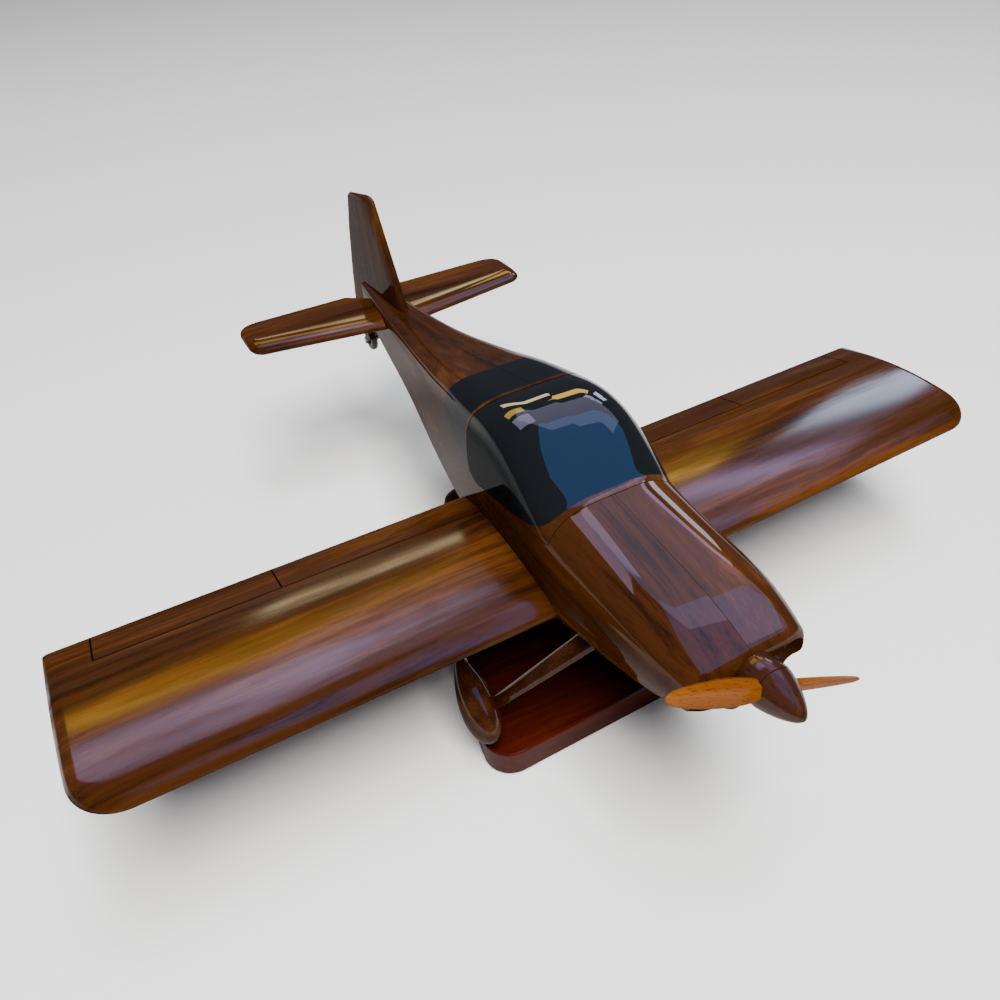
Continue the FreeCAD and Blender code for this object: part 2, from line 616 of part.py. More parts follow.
for side, word in ((1, "left"), (-1, "right")):
    sign = "" if side > 0 else "0 - "
    track = f"{sign}gear_track"
    spat_blank = skin(f"{word}_spat_blank", [
        ellipse(f"{word}_spat_{name}", f"spat_{name}_half_height", f"spat_{name}_half_width", track,
                f"wing_le_y + spat_{name}_station", f"wing_level + spat_{name}_level", ALONG_Y)
        for name in SPAT])
    spread = V(number("leg_foot_x - leg_head_x") * side, 0, number("leg_foot_level - leg_head_level"))
    turn = FreeCAD.Rotation(V(0, 1, 0), spread.cross(V(0, 1, 0)), spread, "ZXY")
    leg_blank = skin(f"{word}_leg_blank", [
        ellipse(f"{word}_leg_{end}", f"leg_{end}_chord / 2", f"leg_{end}_thickness / 2",
                f"{sign}leg_{end}_x", f"wing_le_y + leg_{end}_station", f"wing_level + leg_{end}_level", turn)
        for end in ("head", "foot")])
    axle_y, axle_z = "wing_le_y + wheel_station", "wing_level + wheel_level"

    def crossbar(name, radius, width):
        """A round bar across one wheel, centred on the wheel's track."""
        return cylinder(name, radius, width, f"{track} - ( {width} ) / 2", axle_y, axle_z, "X")

    well = crossbar(f"{word}_wheel_well", "wheel_radius + wheel_room", "wheel_width + 2 * wheel_room")
    axle = crossbar(f"{word}_axle_pin", "axle_radius", "axle_length")
    bore = crossbar(f"{word}_wheel_bore", "axle_radius + shaft_clearance", "wheel_width")
    disc = crossbar(f"{word}_wheel_disc", "wheel_radius", "wheel_width")
    spat = boolean("Cut", f"{word}_wheel_spat", spat_blank, well, axle)
    boolean("Cut", f"{word}_main_wheel", disc, bore)
    boolean("Cut", f"{word}_gear_leg", leg_blank, blank, spat_blank, wings[word])

# ---------------------------------------------------------------- tail wheel
ears = []
for name, left in (("left", "tailwheel_width / 2 + fork_gap"), ("right", "0 - tailwheel_width / 2 - fork_gap - fork_ear")):
    ear = primitive("Box", f"fork_ear_{name}", Length="fork_ear", Width="fork_depth", Height="fork_reach + 2")
    place(ear, left, "0 - fork_depth / 2", "0 - 2")
    ears.append(ear)
crown = primitive("Box", "fork_crown", Length="tailwheel_width + 2 * fork_gap + 2 * fork_ear", Width="fork_depth",
                  Height="fork_crown_height")
place(crown, "0 - tailwheel_width / 2 - fork_gap - fork_ear", "0 - fork_depth / 2", "fork_reach")
stem = cylinder("fork_stem", "strut_radius", "strut_length - fork_reach", "0", "0", "fork_reach")
fork_blank = boolean("Fuse", "fork_blank", crown, *ears, stem)
fork_axle_hole = cylinder("fork_axle_hole", "tail_axle_radius", "20", "0 - 10", "0", "0", "X")
fork = boolean("Cut", "tailwheel_fork", fork_blank, fork_axle_hole)
place(fork, "0", "wing_le_y + tailwheel_station", "wing_level + tailwheel_level", V(1, 0, 0), strut_lean)


def tail_bar(name, radius, width):
    """A round bar across the tail wheel, centred on the model's centreline."""
    return cylinder(name, radius, width, f"0 - ( {width} ) / 2", "wing_le_y + tailwheel_station",
                    "wing_level + tailwheel_level", "X")


tail_bar("tailwheel_axle_pin", "tail_axle_radius", "tailwheel_width + 2 * fork_gap + 2 * fork_ear")
boolean("Cut", "tail_wheel", tail_bar("tailwheel_disc", "tailwheel_radius", "tailwheel_width"),
        tail_bar("tailwheel_bore", "tail_axle_radius + shaft_clearance", "tailwheel_width"))

# ---------------------------------------------------------------- propeller
axis_level = "wing_level + spinner_level"


def on_axis(name, radius, front, rear):
    """A round bar on the propeller axis between two stations."""
    return cylinder(name, radius, f"{rear} - ( {front} )", "0", f"wing_le_y + {front}", axis_level, "Y")


head = on_axis("propeller_pin_head", "pin_head_radius", "spinner_joint_station - 1.4",
               "spinner_joint_station - 0.6")
boolean("Fuse", "propeller_pin", shaft, head)
running_bore = on_axis("running_bore", "shaft_radius + shaft_clearance", "spinner_joint_station - 0.5",
                       "spinner_back_station + 2")
head_room = on_axis("head_room", "pin_head_radius + 0.4", "spinner_joint_station - 2", "spinner_joint_station")
boolean("Cut", "nose_washer", on_axis("washer_disc", "washer_radius", "spinner_back_station + 0.3", "lip_station"),
        shaft)
boolean("Cut", "spinner_backplate",
        on_axis("backplate_disc", "spinner_radius", "spinner_joint_station", "spinner_back_station"),
        running_bore)

cone_body = new_body("cone_body")
cone_profile = new_sketch(cone_body, "cone_profile", "YZ_Plane")
joint, tip = number("wing_le_y + spinner_joint_station"), number("wing_le_y + spinner_tip_station")
nose, bow, axis_z = number("spinner_nose_radius"), number("spinner_bow_radius"), number(axis_level)
rim = V(joint, axis_z + number("spinner_radius"), 0)
nose_centre = V(tip + nose, axis_z, 0)
chord = nose_centre - rim
along = (bow ** 2 - (bow - nose) ** 2 + chord.Length ** 2) / (2 * chord.Length)
across = V(chord.y, -chord.x, 0).normalize() * math.sqrt(bow ** 2 - along ** 2)
bow_centre = rim + V(chord).normalize() * along + (across if across.y < 0 else across * -1)
steep = math.degrees(math.atan2(nose_centre.y - bow_centre.y, nose_centre.x - bow_centre.x))
shallow = math.degrees(math.atan2(rim.y - bow_centre.y, rim.x - bow_centre.x))
cone_edges = [
    line(cone_profile, (tip, axis_z), (joint, axis_z)),
    line(cone_profile, (joint, axis_z), (joint, rim.y)),
    arc(cone_profile, (bow_centre.x, bow_centre.y), bow, shallow, steep),
    arc(cone_profile, (nose_centre.x, nose_centre.y), nose, steep, 180),
]
constrain(cone_profile, "Coincident", cone_edges[0], 2, cone_edges[1], 1)
constrain(cone_profile, "Coincident", cone_edges[1], 2, cone_edges[2], 1)
constrain(cone_profile, "Tangent", cone_edges[2], 2, cone_edges[3], 1)
constrain(cone_profile, "Coincident", cone_edges[3], 2, cone_edges[0], 1)
constrain(cone_profile, "Horizontal", cone_edges[0])
constrain(cone_profile, "Vertical", cone_edges[1])
constrain(cone_profile, "PointOnObject", cone_edges[3], 3, cone_edges[0])
constrain(cone_profile, "Radius", cone_edges[2], size="spinner_bow_radius")
constrain(cone_profile, "Radius", cone_edges[3], size="spinner_nose_radius")
constrain(cone_profile, "DistanceX", cone_edges[0], 2, -1, 1, size="0 - wing_le_y - spinner_joint_station")
constrain(cone_profile, "DistanceX", cone_edges[0], 1, -1, 1, size="0 - wing_le_y - spinner_tip_station")
constrain(cone_profile, "DistanceY", -1, 1, cone_edges[0], 1, size=axis_level)
constrain(cone_profile, "DistanceY", cone_edges[1], size="spinner_radius")
cone_turned = cone_body.newObject("PartDesign::Revolution", "cone_turned")
cone_turned.Profile = cone_profile
cone_turned.ReferenceAxis = (cone_profile, [f"Edge{cone_edges[0] + 1}"])
cone_turned.Angle = 360
boolean("Cut", "spinner_cone", cone_body, head_room)

pitch = math.radians(number("blade_pitch"))
for number_of, turn in (("one", 0), ("two", 180)):
    across = FreeCAD.Rotation(V(0, -math.sin(pitch), math.cos(pitch)), V(0, -math.cos(pitch), -math.sin(pitch)),
                              V(1, 0, 0), "ZXY")
    blade_blank = skin(f"blade_{number_of}_blank", [
        ellipse(f"blade_{number_of}_{name}", f"blade_{name}_chord / 2", f"blade_{name}_thickness / 2",
                f"blade_{name}_reach", "0", "0", across)
        for name in BLADE])
    place(blade_blank, "0", "wing_le_y + blade_station", axis_level, V(0, 1, 0), number("blade_turn") + turn)
    boolean("Cut", f"propeller_blade_{number_of}", blade_blank, cone_body, doc.getObject("backplate_disc"))

# ---------------------------------------------------------------- stand
def shield(body, name, offset, inset):
    """A shield: straight front edge, round corners, long bowed sides, round rear point."""
    sketch = new_sketch(body, name, "XY_Plane", offset)
    corner_size, bow_size = f"base_corner_radius - {inset}", f"base_side_radius - {inset}"
    corner, bow = number(corner_size), number(bow_size)
    front = number(f"wing_le_y + base_front_station + {inset}")
    hub = V(number("base_half_width - base_corner_radius"), front + corner, 0)
    point = V(0, number("wing_le_y + base_rear_station - base_corner_radius"), 0)
    chord = point - hub
    across = V(-chord.y, chord.x, 0).normalize()
    centre = (hub + point) * 0.5 + across * math.sqrt((bow - corner) ** 2 - (chord.Length / 2) ** 2)
    low = math.degrees(math.atan2(hub.y - centre.y, hub.x - centre.x))
    high = math.degrees(math.atan2(point.y - centre.y, point.x - centre.x))
    flat = line(sketch, (-hub.x, front), (hub.x, front))
    right = arc(sketch, (hub.x, hub.y), corner, 270, 360 + low)
    right_side = arc(sketch, (centre.x, centre.y), bow, low, high)
    rear = arc(sketch, (0, point.y), corner, high, 180 - high)
    left_side = arc(sketch, (-centre.x, centre.y), bow, 180 - high, 180 - low)
    left = arc(sketch, (-hub.x, hub.y), corner, 180 - low, 270)
    loop = [flat, right, right_side, rear, left_side, left]
    for i, edge in enumerate(loop):
        constrain(sketch, "Tangent", edge, 2, loop[(i + 1) % len(loop)], 1)
    constrain(sketch, "Horizontal", flat)
    for edge in (right, rear, left):
        constrain(sketch, "Radius", edge, size=corner_size)
    for edge in (right_side, left_side):
        constrain(sketch, "Radius", edge, size=bow_size)
    constrain(sketch, "DistanceY", flat, 1, -1, 1, size=f"0 - wing_le_y - base_front_station - {inset}")
    constrain(sketch, "DistanceX", -1, 1, right, 3, size="base_half_width - base_corner_radius")
    constrain(sketch, "DistanceX", left, 3, -1, 1, size="base_half_width - base_corner_radius")
    constrain(sketch, "PointOnObject", rear, 3, -2)
    constrain(sketch, "DistanceY", -1, 1, rear, 3,
              size="wing_le_y + base_rear_station - base_corner_radius")
    return sketch


base_board = new_body("base_board")
pad(base_board, "base_board_pad", shield(base_board, "base_outline", "felt_thickness", "0"),
    "base_top - felt_thickness")
round_rims(base_board, "base_board_easing", "Z", [number("base_top")], "base_easing")
screw_head_tool = cylinder("screw_head_room", "screw_head_radius + 0.3",
                           "screw_head_level + screw_head_height", "0", post_y, "0")
screw_shank_tool = cylinder("screw_shank", "screw_radius", "screw_length + screw_head_level", "0", post_y, "0")
boolean("Cut", "stand_base", base_board, screw_head_tool, screw_shank_tool)
felt_board = new_body("felt_board")
pad(felt_board, "felt_board_pad", shield(felt_board, "felt_outline", "0", "felt_inset"), "felt_thickness")
boolean("Cut", "base_felt", felt_board, screw_head_tool)

post_foot = cylinder("post_foot", "post_foot_radius", "post_foot_height", "0", post_y, "base_top")
post_cone = primitive("Cone", "post_stem", Radius1="post_radius", Radius2="post_head_radius",
                      Height=f"{belly} - ferrule_lip - post_gap - base_top")
place(post_cone, "0", post_y, "base_top")
foot_ring = primitive("Torus", "post_cove_tool", Radius1="post_foot_radius", Radius2="post_cove_radius")
place(foot_ring, "0", post_y, "base_top + post_foot_height")
peg_start = f"{belly} - ferrule_lip - post_gap - peg_sunk"
peg = cylinder("stand_peg", "peg_radius", "peg_sunk + peg_reach", "0", post_y, peg_start)
boolean("Cut", "stand_post", boolean("Fuse", "post_blank", post_cone, post_foot), foot_ring, peg,
        screw_shank_tool)
screw_head = cylinder("post_screw_head", "screw_head_radius", "screw_head_height", "0", post_y, "screw_head_level")
shank = cylinder("post_screw_shank", "screw_radius", "screw_length", "0", post_y, "screw_head_level")
boolean("Fuse", "post_screw", screw_head, shank)

ferrule_tube = cylinder("ferrule_tube", "ferrule_radius", f"{ferrule_top} - ( {belly} )", "0", post_y, belly)
ferrule_rim = cylinder("ferrule_rim", "ferrule_rim_radius", "ferrule_lip", "0", post_y, f"{belly} - ferrule_lip")
peg_bore = cylinder("peg_bore", "peg_radius + shaft_clearance", "peg_reach + 1.5", "0", post_y,
                    f"{belly} - ferrule_lip")
boolean("Cut", "belly_ferrule", boolean("Fuse", "ferrule_blank", ferrule_tube, ferrule_rim), peg_bore)

# ---------------------------------------------------------------- checks and export
PARTS = [
    "fuselage_left_half", "fuselage_right_half", "canopy_block", "chin_scoop", "left_wing", "right_wing",
    "wing_dowels", "left_tailplane", "right_tailplane", "tailplane_dowel", "fin_and_rudder", "fin_dowels",
    "left_gear_leg", "right_gear_leg", "left_wheel_spat", "right_wheel_spat", "left_main_wheel",
    "right_main_wheel", "left_axle_pin", "right_axle_pin", "tailwheel_fork", "tailwheel_axle_pin",
    "tail_wheel", "propeller_pin", "nose_washer", "spinner_backplate", "spinner_cone",
    "propeller_blade_one", "propeller_blade_two", "stand_base", "base_felt", "stand_post", "stand_peg",
    "post_screw", "belly_ferrule",
]
for name, members in (("wing_dowels", wing_dowels), ("fin_dowels", fin_dowels)):
    group = doc.addObject("Part::Compound", name)
    group.Links = members
doc.recompute()
for item in doc.Objects:
    if "Invalid" in item.State or "Error" in item.State:
        raise RuntimeError(f"{item.Label} failed: {item.State}")
os.makedirs("parts", exist_ok=True)
for name in PARTS:
    item = doc.getObjectsByLabel(name)[0]
    if item.Shape.isNull() or not item.Shape.isValid() or item.Shape.Volume <= 0:
        raise RuntimeError(f"{name} has no valid solid")
    item.Shape.exportStep(f"parts/{name}.step")
    print(f"{name}: {len(item.Shape.Solids)} solid, {item.Shape.Volume:.0f} mm3")
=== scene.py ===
"""Desk model of a light aeroplane: varnished wood, lacquered canopy, shield-shaped base."""
import math

import bmesh
import bpy
import numpy as np
from mathutils import Matrix, Vector


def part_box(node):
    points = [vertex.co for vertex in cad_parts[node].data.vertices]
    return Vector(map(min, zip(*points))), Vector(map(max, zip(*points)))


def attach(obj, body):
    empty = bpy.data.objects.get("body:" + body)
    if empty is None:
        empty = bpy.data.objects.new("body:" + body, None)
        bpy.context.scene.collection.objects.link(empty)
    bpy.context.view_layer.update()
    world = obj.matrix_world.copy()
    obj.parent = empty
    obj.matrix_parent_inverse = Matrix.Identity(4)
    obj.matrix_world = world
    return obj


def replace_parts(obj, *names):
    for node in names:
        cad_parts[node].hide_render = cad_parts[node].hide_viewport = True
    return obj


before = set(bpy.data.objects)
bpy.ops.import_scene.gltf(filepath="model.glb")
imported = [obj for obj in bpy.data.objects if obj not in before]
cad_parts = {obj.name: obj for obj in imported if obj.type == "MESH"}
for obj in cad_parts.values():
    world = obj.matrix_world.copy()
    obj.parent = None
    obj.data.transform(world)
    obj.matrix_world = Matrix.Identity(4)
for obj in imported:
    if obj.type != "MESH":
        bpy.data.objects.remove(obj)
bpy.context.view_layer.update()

MM = 0.001
LEADING_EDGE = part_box("left_wing")[0].y / MM     # row Y of the wing's leading edge
LEVEL_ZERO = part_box("left_wing")[0].z / MM + 4   # row Z of the middle of the wing's nose
HALF_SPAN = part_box("left_wing")[1].x / MM
TAIL_HALF_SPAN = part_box("left_tailplane")[1].x / MM
HAIRLINE = 0.14    # the width of a glued joint, in millimetres

# All shapes are worked out in millimetres: x across, station from the wing's leading edge
# towards the tail, level above the middle of the wing's nose.


def row(x, station, level):
    """The place in the row frame, in metres, as an array with the points in its rows."""
    x, station, level = np.broadcast_arrays(x, station, level)
    return np.stack([x, station + LEADING_EDGE, level + LEVEL_ZERO], axis=-1) * MM


def curve(points):
    """A smooth curve through (place, value) points, as a function of the place."""
    x, y = np.array(points, float).T
    gap = np.diff(x)
    size = len(x)
    system, slopes = np.eye(size), np.zeros(size)
    for i in range(1, size - 1):
        system[i, i - 1:i + 2] = gap[i - 1], 2 * (gap[i - 1] + gap[i]), gap[i]
        slopes[i] = 6 * ((y[i + 1] - y[i]) / gap[i] - (y[i] - y[i - 1]) / gap[i - 1])
    bend = np.linalg.solve(system, slopes)

    def at(place):
        place = np.clip(np.asarray(place, float), x[0], x[-1])
        i = np.clip(np.searchsorted(x, place) - 1, 0, size - 2)
        after = (place - x[i]) / gap[i]
        before = 1 - after
        return (before * y[i] + after * y[i + 1]
                + gap[i] ** 2 / 6 * ((before ** 3 - before) * bend[i] + (after ** 3 - after) * bend[i + 1]))
    return at


def smooth_line(points, count):
    """A smooth line through 2-D points, as count points."""
    points = np.array(points, float)
    run = np.concatenate([[0], np.cumsum(np.hypot(*np.diff(points, axis=0).T))])
    places = np.linspace(0, run[-1], count)
    return np.stack([curve(np.stack([run, points[:, k]], axis=1))(places) for k in (0, 1)], axis=1)


def rounding(distance, reach, power=2.2):
    """0 at an edge and 1 from reach inwards, along a full round."""
    inside = np.clip(distance / reach, 0, 1)
    return (1 - (1 - inside) ** power) ** (1 / power)


def crowded(count, ends=(True, True)):
    """count numbers from 0 to 1 that lie closer together at the chosen ends."""
    u = np.linspace(0, 1, count)
    if all(ends):
        return (1 - np.cos(np.pi * u)) / 2
    return 1 - np.cos(np.pi / 2 * u) if ends[0] else np.sin(np.pi / 2 * u)


# ---------------------------------------------------------------- meshes
def finish_mesh(mesh, sharp=35):
    mesh.shade_smooth()
    mesh.set_sharp_from_angle(angle=math.radians(sharp))
    return mesh


def new_object(name, mesh):
    piece = bpy.data.objects.new(name, mesh)
    bpy.context.collection.objects.link(piece)
    return piece


def skin(name, rings, closed_ends=True):
    """A closed mesh over rings of points: an array of rings, points and coordinates in metres."""
    rings = np.asarray(rings)
    count, around = rings.shape[:2]
    index = np.arange(count * around).reshape(count, around)
    turned = np.roll(index, -1, axis=1)
    quads = np.stack([index[:-1], turned[:-1], turned[1:], index[1:]], axis=-1).reshape(-1, 4)
    faces = quads.tolist()
    if closed_ends:
        faces += [index[0][::-1].tolist(), index[-1].tolist()]
    mesh = bpy.data.meshes.new(name)
    mesh.from_pydata(rings.reshape(-1, 3).tolist(), [], faces)
    work = bmesh.new()
    work.from_mesh(mesh)
    bmesh.ops.remove_doubles(work, verts=work.verts, dist=1e-7)
    bmesh.ops.dissolve_degenerate(work, edges=work.edges, dist=1e-8)
    bmesh.ops.recalc_face_normals(work, faces=work.faces)
    work.to_mesh(mesh)
    work.free()
    return new_object(name, finish_mesh(mesh))


def lathe(name, profile, centre, axis="X", steps=96, closed=False):
    """A turned piece: profile is (distance along the axis, radius) in millimetres; closed for a ring."""
    profile = list(profile) + [profile[0]] if closed else profile
    along, radius = np.array(profile, float).T
    turn = np.linspace(0, 2 * np.pi, steps, endpoint=False)
    u, v = radius[:, None] * np.cos(turn), radius[:, None] * np.sin(turn)
    w = np.broadcast_to(along[:, None], u.shape)
    x, station, level = {"X": (w, u, v), "Y": (u, w, v), "Z": (u, v, w)}[axis]
    return skin(name, row(x + centre[0], station + centre[1], level + centre[2]), not closed)


def prism(name, outline, half_width):
    """A side-view outline of (station, level) points, drawn out across the model."""
    station, level = np.array(outline, float).T
    return skin(name, [row(x, station, level) for x in (-half_width, half_width)])


def combine(piece, operation, *tools, keep=()):
    """Cut, meet or join a piece with tools, which are deleted unless they are in keep."""
    for tool in tools:
        change = piece.modifiers.new("combine", "BOOLEAN")
        change.operation, change.object, change.solver = operation, tool, "MANIFOLD"
        graph = bpy.context.evaluated_depsgraph_get()
        mesh = bpy.data.meshes.new_from_object(piece.evaluated_get(graph), depsgraph=graph)
        piece.modifiers.clear()
        piece.data = finish_mesh(mesh)
        if tool not in keep:
            bpy.data.objects.remove(tool)
    return piece


def scribe(name, points, normals, width, depth, above=1.2):
    """The tool for an engraved line: a blade with a V edge that follows surface points."""
    points, normals = np.asarray(points) / MM, np.asarray(normals, float)
    normals = normals / np.linalg.norm(normals, axis=1)[:, None]
    tangents = np.gradient(points, axis=0)
    tangents /= np.linalg.norm(tangents, axis=1)[:, None]
    sides = np.cross(tangents, normals)
    flare = width / 2 * (1 + above / depth)
    top_left, top_right = (points + normals * above + sides * s * flare for s in (-1, 1))
    return skin(name, np.stack([top_left, top_right, points - normals * depth], axis=1) * MM)


def distance_inside(outline, station, level):
    """How far points lie inside a closed side-view outline, negative outside."""
    outline = np.asarray(outline, float)
    start, end = outline, np.roll(outline, -1, axis=0)
    nearest = np.full(station.shape, 1e9)
    inside = np.zeros(station.shape, bool)
    for (s0, l0), (s1, l1) in zip(start, end):
        ds, dl = s1 - s0, l1 - l0
        along = np.clip(((station - s0) * ds + (level - l0) * dl) / (ds * ds + dl * dl), 0, 1)
        nearest = np.minimum(nearest, np.hypot(station - s0 - along * ds, level - l0 - along * dl))
        if l0 != l1:
            crosses = ((l0 > level) != (l1 > level)) & (station < ds * (level - l0) / (l1 - l0) + s0)
            inside ^= crosses
    return np.where(inside, nearest, -nearest)


# ---------------------------------------------------------------- fuselage
WIDTH = curve([(-66, 22.8), (-50, 26.5), (-25, 28.5), (9, 29.3), (24, 28.9), (42, 28), (66, 26.4),
               (92, 23.8), (125, 19.2), (165, 13), (206, 8), (240, 3.4)])
BOTTOM = curve([(-66, 6.4), (-50, -1.2), (-25, -8.6), (9, -14.6), (24, -16.5), (42, -17), (66, -17),
                (92, -15.5), (125, -12), (165, -5.5), (206, 0), (240, 6)])
COWL = curve([(-66, 25.5), (-50, 30.5), (-25, 33.8), (7.8, 36.9), (40, 39)])
DECK = curve([(-6, 22.5), (9, 36.4), (16, 42), (24, 47.4), (33, 52.2), (48, 55), (66, 52), (92, 45.8),
              (106, 42), (125, 37.6), (150, 33), (175, 30.2), (206, 27.5), (240, 24.5)])
CROWN = curve([(-66, 1), (-50, 0.8), (9, 0.8), (24, 1.2), (42, 1.6), (66, 1.2), (92, 0.8), (165, 0.5),
               (240, 0.2)])
SHOULDER = curve([(-66, 7.5), (-50, 11.5), (-25, 15.5), (9, 18), (24, 17), (42, 15), (66, 13), (92, 11),
                  (125, 9), (165, 7), (206, 5), (240, 2.4)])
CHINE = curve([(-66, 18), (-50, 19.5), (-25, 19), (9, 15), (24, 11), (42, 9), (66, 8), (92, 7), (125, 6),
               (165, 5), (206, 4), (240, 2)])
NOSE_STATION, STERN_STATION = -66, 240
CORNER_POWER, CORNER_REACH = 2.4, 1.17   # the shoulders are a little squarer than a circle
LIP_ROUND = 3.2


def top_level(station):
    """Level of the centreline: the cowl's line, then the canopy's where that is higher."""
    cowl = COWL(station)
    deck = np.where(np.asarray(station) < 40, DECK(station), 1e3)
    blend = (cowl + deck + np.sqrt((cowl - deck) ** 2 + 1.4)) / 2
    return np.where(np.asarray(station) < 40, blend, DECK(station))


def half_section(station, swell, share):
    """Points (x, level) up one side of the fuselage, at shares of the way round from keel to crown."""
    inset = LIP_ROUND * (1 - rounding(station - NOSE_STATION, LIP_ROUND, 2)) - swell
    wide, top, bottom = WIDTH(station) - inset, top_level(station) - inset, BOTTOM(station) + inset
    high = min(CORNER_REACH * SHOULDER(station), wide)
    low = min(CORNER_REACH * CHINE(station), wide)
    tuck = min(low, top - high - bottom)
    turn = np.linspace(0, np.pi / 2, 240)
    rise, run = np.sin(turn) ** (2 / CORNER_POWER), np.cos(turn) ** (2 / CORNER_POWER)
    x = np.concatenate([[0], wide - low + low * rise, wide - high + high * run, [0]])
    level = np.concatenate([[bottom], bottom + tuck - tuck * run, top - high + high * rise, [top]])
    middle = (top + bottom) / 2
    upper = np.clip((level - middle) / (top - middle), 0, 1)
    level = level - CROWN(station) * (x / wide) ** 2 * upper
    run = np.concatenate([[0], np.cumsum(np.hypot(np.diff(x), np.diff(level)))])
    places = share * run[-1]
    return np.interp(places, run, x), np.interp(places, run, level)


def fuselage_stations(step):
    lip = NOSE_STATION + LIP_ROUND * crowded(14, (True, False))
    body = np.arange(lip[-1] + step / 2, STERN_STATION - step / 2, step)
    return np.concatenate([lip, body, [STERN_STATION]])


def fuselage_solid(name, side=0, swell=0.0, step=0.7, points=120):
    """The whole fuselage, or with side 1 or -1 one half of it that stops just short of the joint."""
    share = np.linspace(0, 1, points)
    rings = []
    for station in fuselage_stations(step):
        x, level = half_section(station, swell, share)
        if side:
            x = np.maximum(x, HAIRLINE / 2)
            rings.append(row(side * x, station, level))
        else:
            rings.append(row(np.concatenate([x, -x[-2:0:-1]]), station,
                             np.concatenate([level, level[-2:0:-1]])))
    return skin(name, rings)


# Side views, as (station, level) points: the canopy's joint with the fuselage, and the two
# lacquered windows.
FRONT_GROOVE = 7.8
CANOPY_GAP, CANOPY_TRIM = 0.34, -0.04   # room around the canopy block, and how much it is trimmed
CANOPY_SILL = [(FRONT_GROOVE, 26.4), (16, 27.1), (24, 26.4), (35.5, 23.7), (48, 20.4), (58, 17.9),
               (65.5, 16.6), (70, 18.6), (71, 23), (70.5, 29), (69.2, 36), (67.4, 42.2), (64.6, 48),
               (61, 53), (58, 62)]
GLASS = [(58, 64), (10.3, 64), (10.3, 38), (10.4, 35), (11.5, 32.4), (13.5, 30.7), (17, 29.5),
         (22, 28.2), (28.7, 26.1), (38, 23.3), (46, 21), (54, 17), (76, 12), (76, 64)]
REAR_WINDOW_FRONT = [(61.5, 64), (63.4, 53), (66.6, 48), (69.2, 42), (70.6, 36), (71.5, 29), (72, 23),
                     (72.4, 20)]
REAR_WINDOW_BACK = [(72.4, 20), (76.1, 21.7), (81.2, 23.3), (87.4, 25.6), (91.4, 28.6), (94, 32.8),
                    (95, 37), (94.4, 41), (92.6, 44.6), (91, 48), (90.6, 64)]

sill = smooth_line(CANOPY_SILL, 160)
canopy_line = np.concatenate([sill, [[FRONT_GROOVE, 62]]])
rear_window = np.concatenate([smooth_line(REAR_WINDOW_FRONT, 60)[:-1], smooth_line(REAR_WINDOW_BACK, 90)])
glass = np.concatenate([smooth_line(GLASS[2:12], 120), GLASS[12:], GLASS[:2]])


def grown(outline, amount):
    """A side-view outline moved outwards by amount, or inwards where it is negative."""
    outline = np.asarray(outline, float)
    along = np.roll(outline, -1, axis=0) - np.roll(outline, 1, axis=0)
    along /= np.hypot(*along.T)[:, None]
    turning = np.sum(outline[:, 0] * np.roll(outline[:, 1], -1)
                     - np.roll(outline[:, 0], -1) * outline[:, 1])
    outward = np.stack([along[:, 1], -along[:, 0]], axis=1) * np.sign(turning)
    return outline + outward * amount


def lacquer(piece, outline):
    """Note on a piece how far inside a lacquered window each of its points lies, in millimetres."""
    mesh = piece.data
    places = np.empty(len(mesh.vertices) * 3)
    mesh.vertices.foreach_get("co", places)
    places = places.reshape(-1, 3) / MM
    inside = distance_inside(outline, places[:, 1] - LEADING_EDGE, places[:, 2] - LEVEL_ZERO)
    mesh.attributes.new("lacquer", "FLOAT", "POINT").data.foreach_set("value", inside)


def bump(name, centre, radii, power=2.0, steps=64):
    """A soft egg-shaped solid with the given half sizes across, along and up, in millimetres."""
    rings = []
    for tilt in np.linspace(-np.pi / 2, np.pi / 2, steps // 2 + 1):
        turn = np.linspace(0, 2 * np.pi, steps, endpoint=False)
        level = np.sign(np.sin(tilt)) * abs(np.sin(tilt)) ** (2 / power)
        reach = abs(np.cos(tilt)) ** (2 / power)
        x, along = (np.sign(f(turn)) * abs(f(turn)) ** (2 / power) * reach for f in (np.cos, np.sin))
        rings.append(row(centre[0] + radii[0] * x, centre[1] + radii[1] * along,
                         centre[2] + radii[2] * level))
    return skin(name, rings, closed_ends=False)


fitting_form = fuselage_solid("fitting_form", swell=HAIRLINE, step=1.2, points=90)


def build_fuselage():
    """Two glued halves with a cooling inlet each, and the canopy block let in between them."""
    for side, word in ((1, "left"), (-1, "right")):
        half = fuselage_solid(f"fuselage_{word}", side)
        inlet = bump(f"{word}_inlet", (side * 15, NOSE_STATION, 14.6), (7.1, 9, 7.6), 2.6)
        combine(half, "DIFFERENCE", inlet, prism("canopy_room", grown(canopy_line, CANOPY_GAP), 40))
        lacquer(half, rear_window)
        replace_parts(half, f"fuselage_{word}_half")
        yield half
    canopy = combine(fuselage_solid("canopy", step=0.6, points=150), "INTERSECT",
                     prism("canopy_block_form", grown(canopy_line, CANOPY_TRIM), 40))
    lacquer(canopy, glass)
    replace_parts(canopy, "canopy_block")
    yield canopy


def fitted(piece):
    """Trim a piece so that it butts against the fuselage with a hairline joint."""
    return combine(piece, "DIFFERENCE", fitting_form, keep=(fitting_form,))


def build_scoop():
    scoop = fitted(bump("chin_scoop", (0, -51, -0.8), (6.2, 12.5, 5.2), 2.3))
    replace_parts(scoop, "chin_scoop")
    return scoop


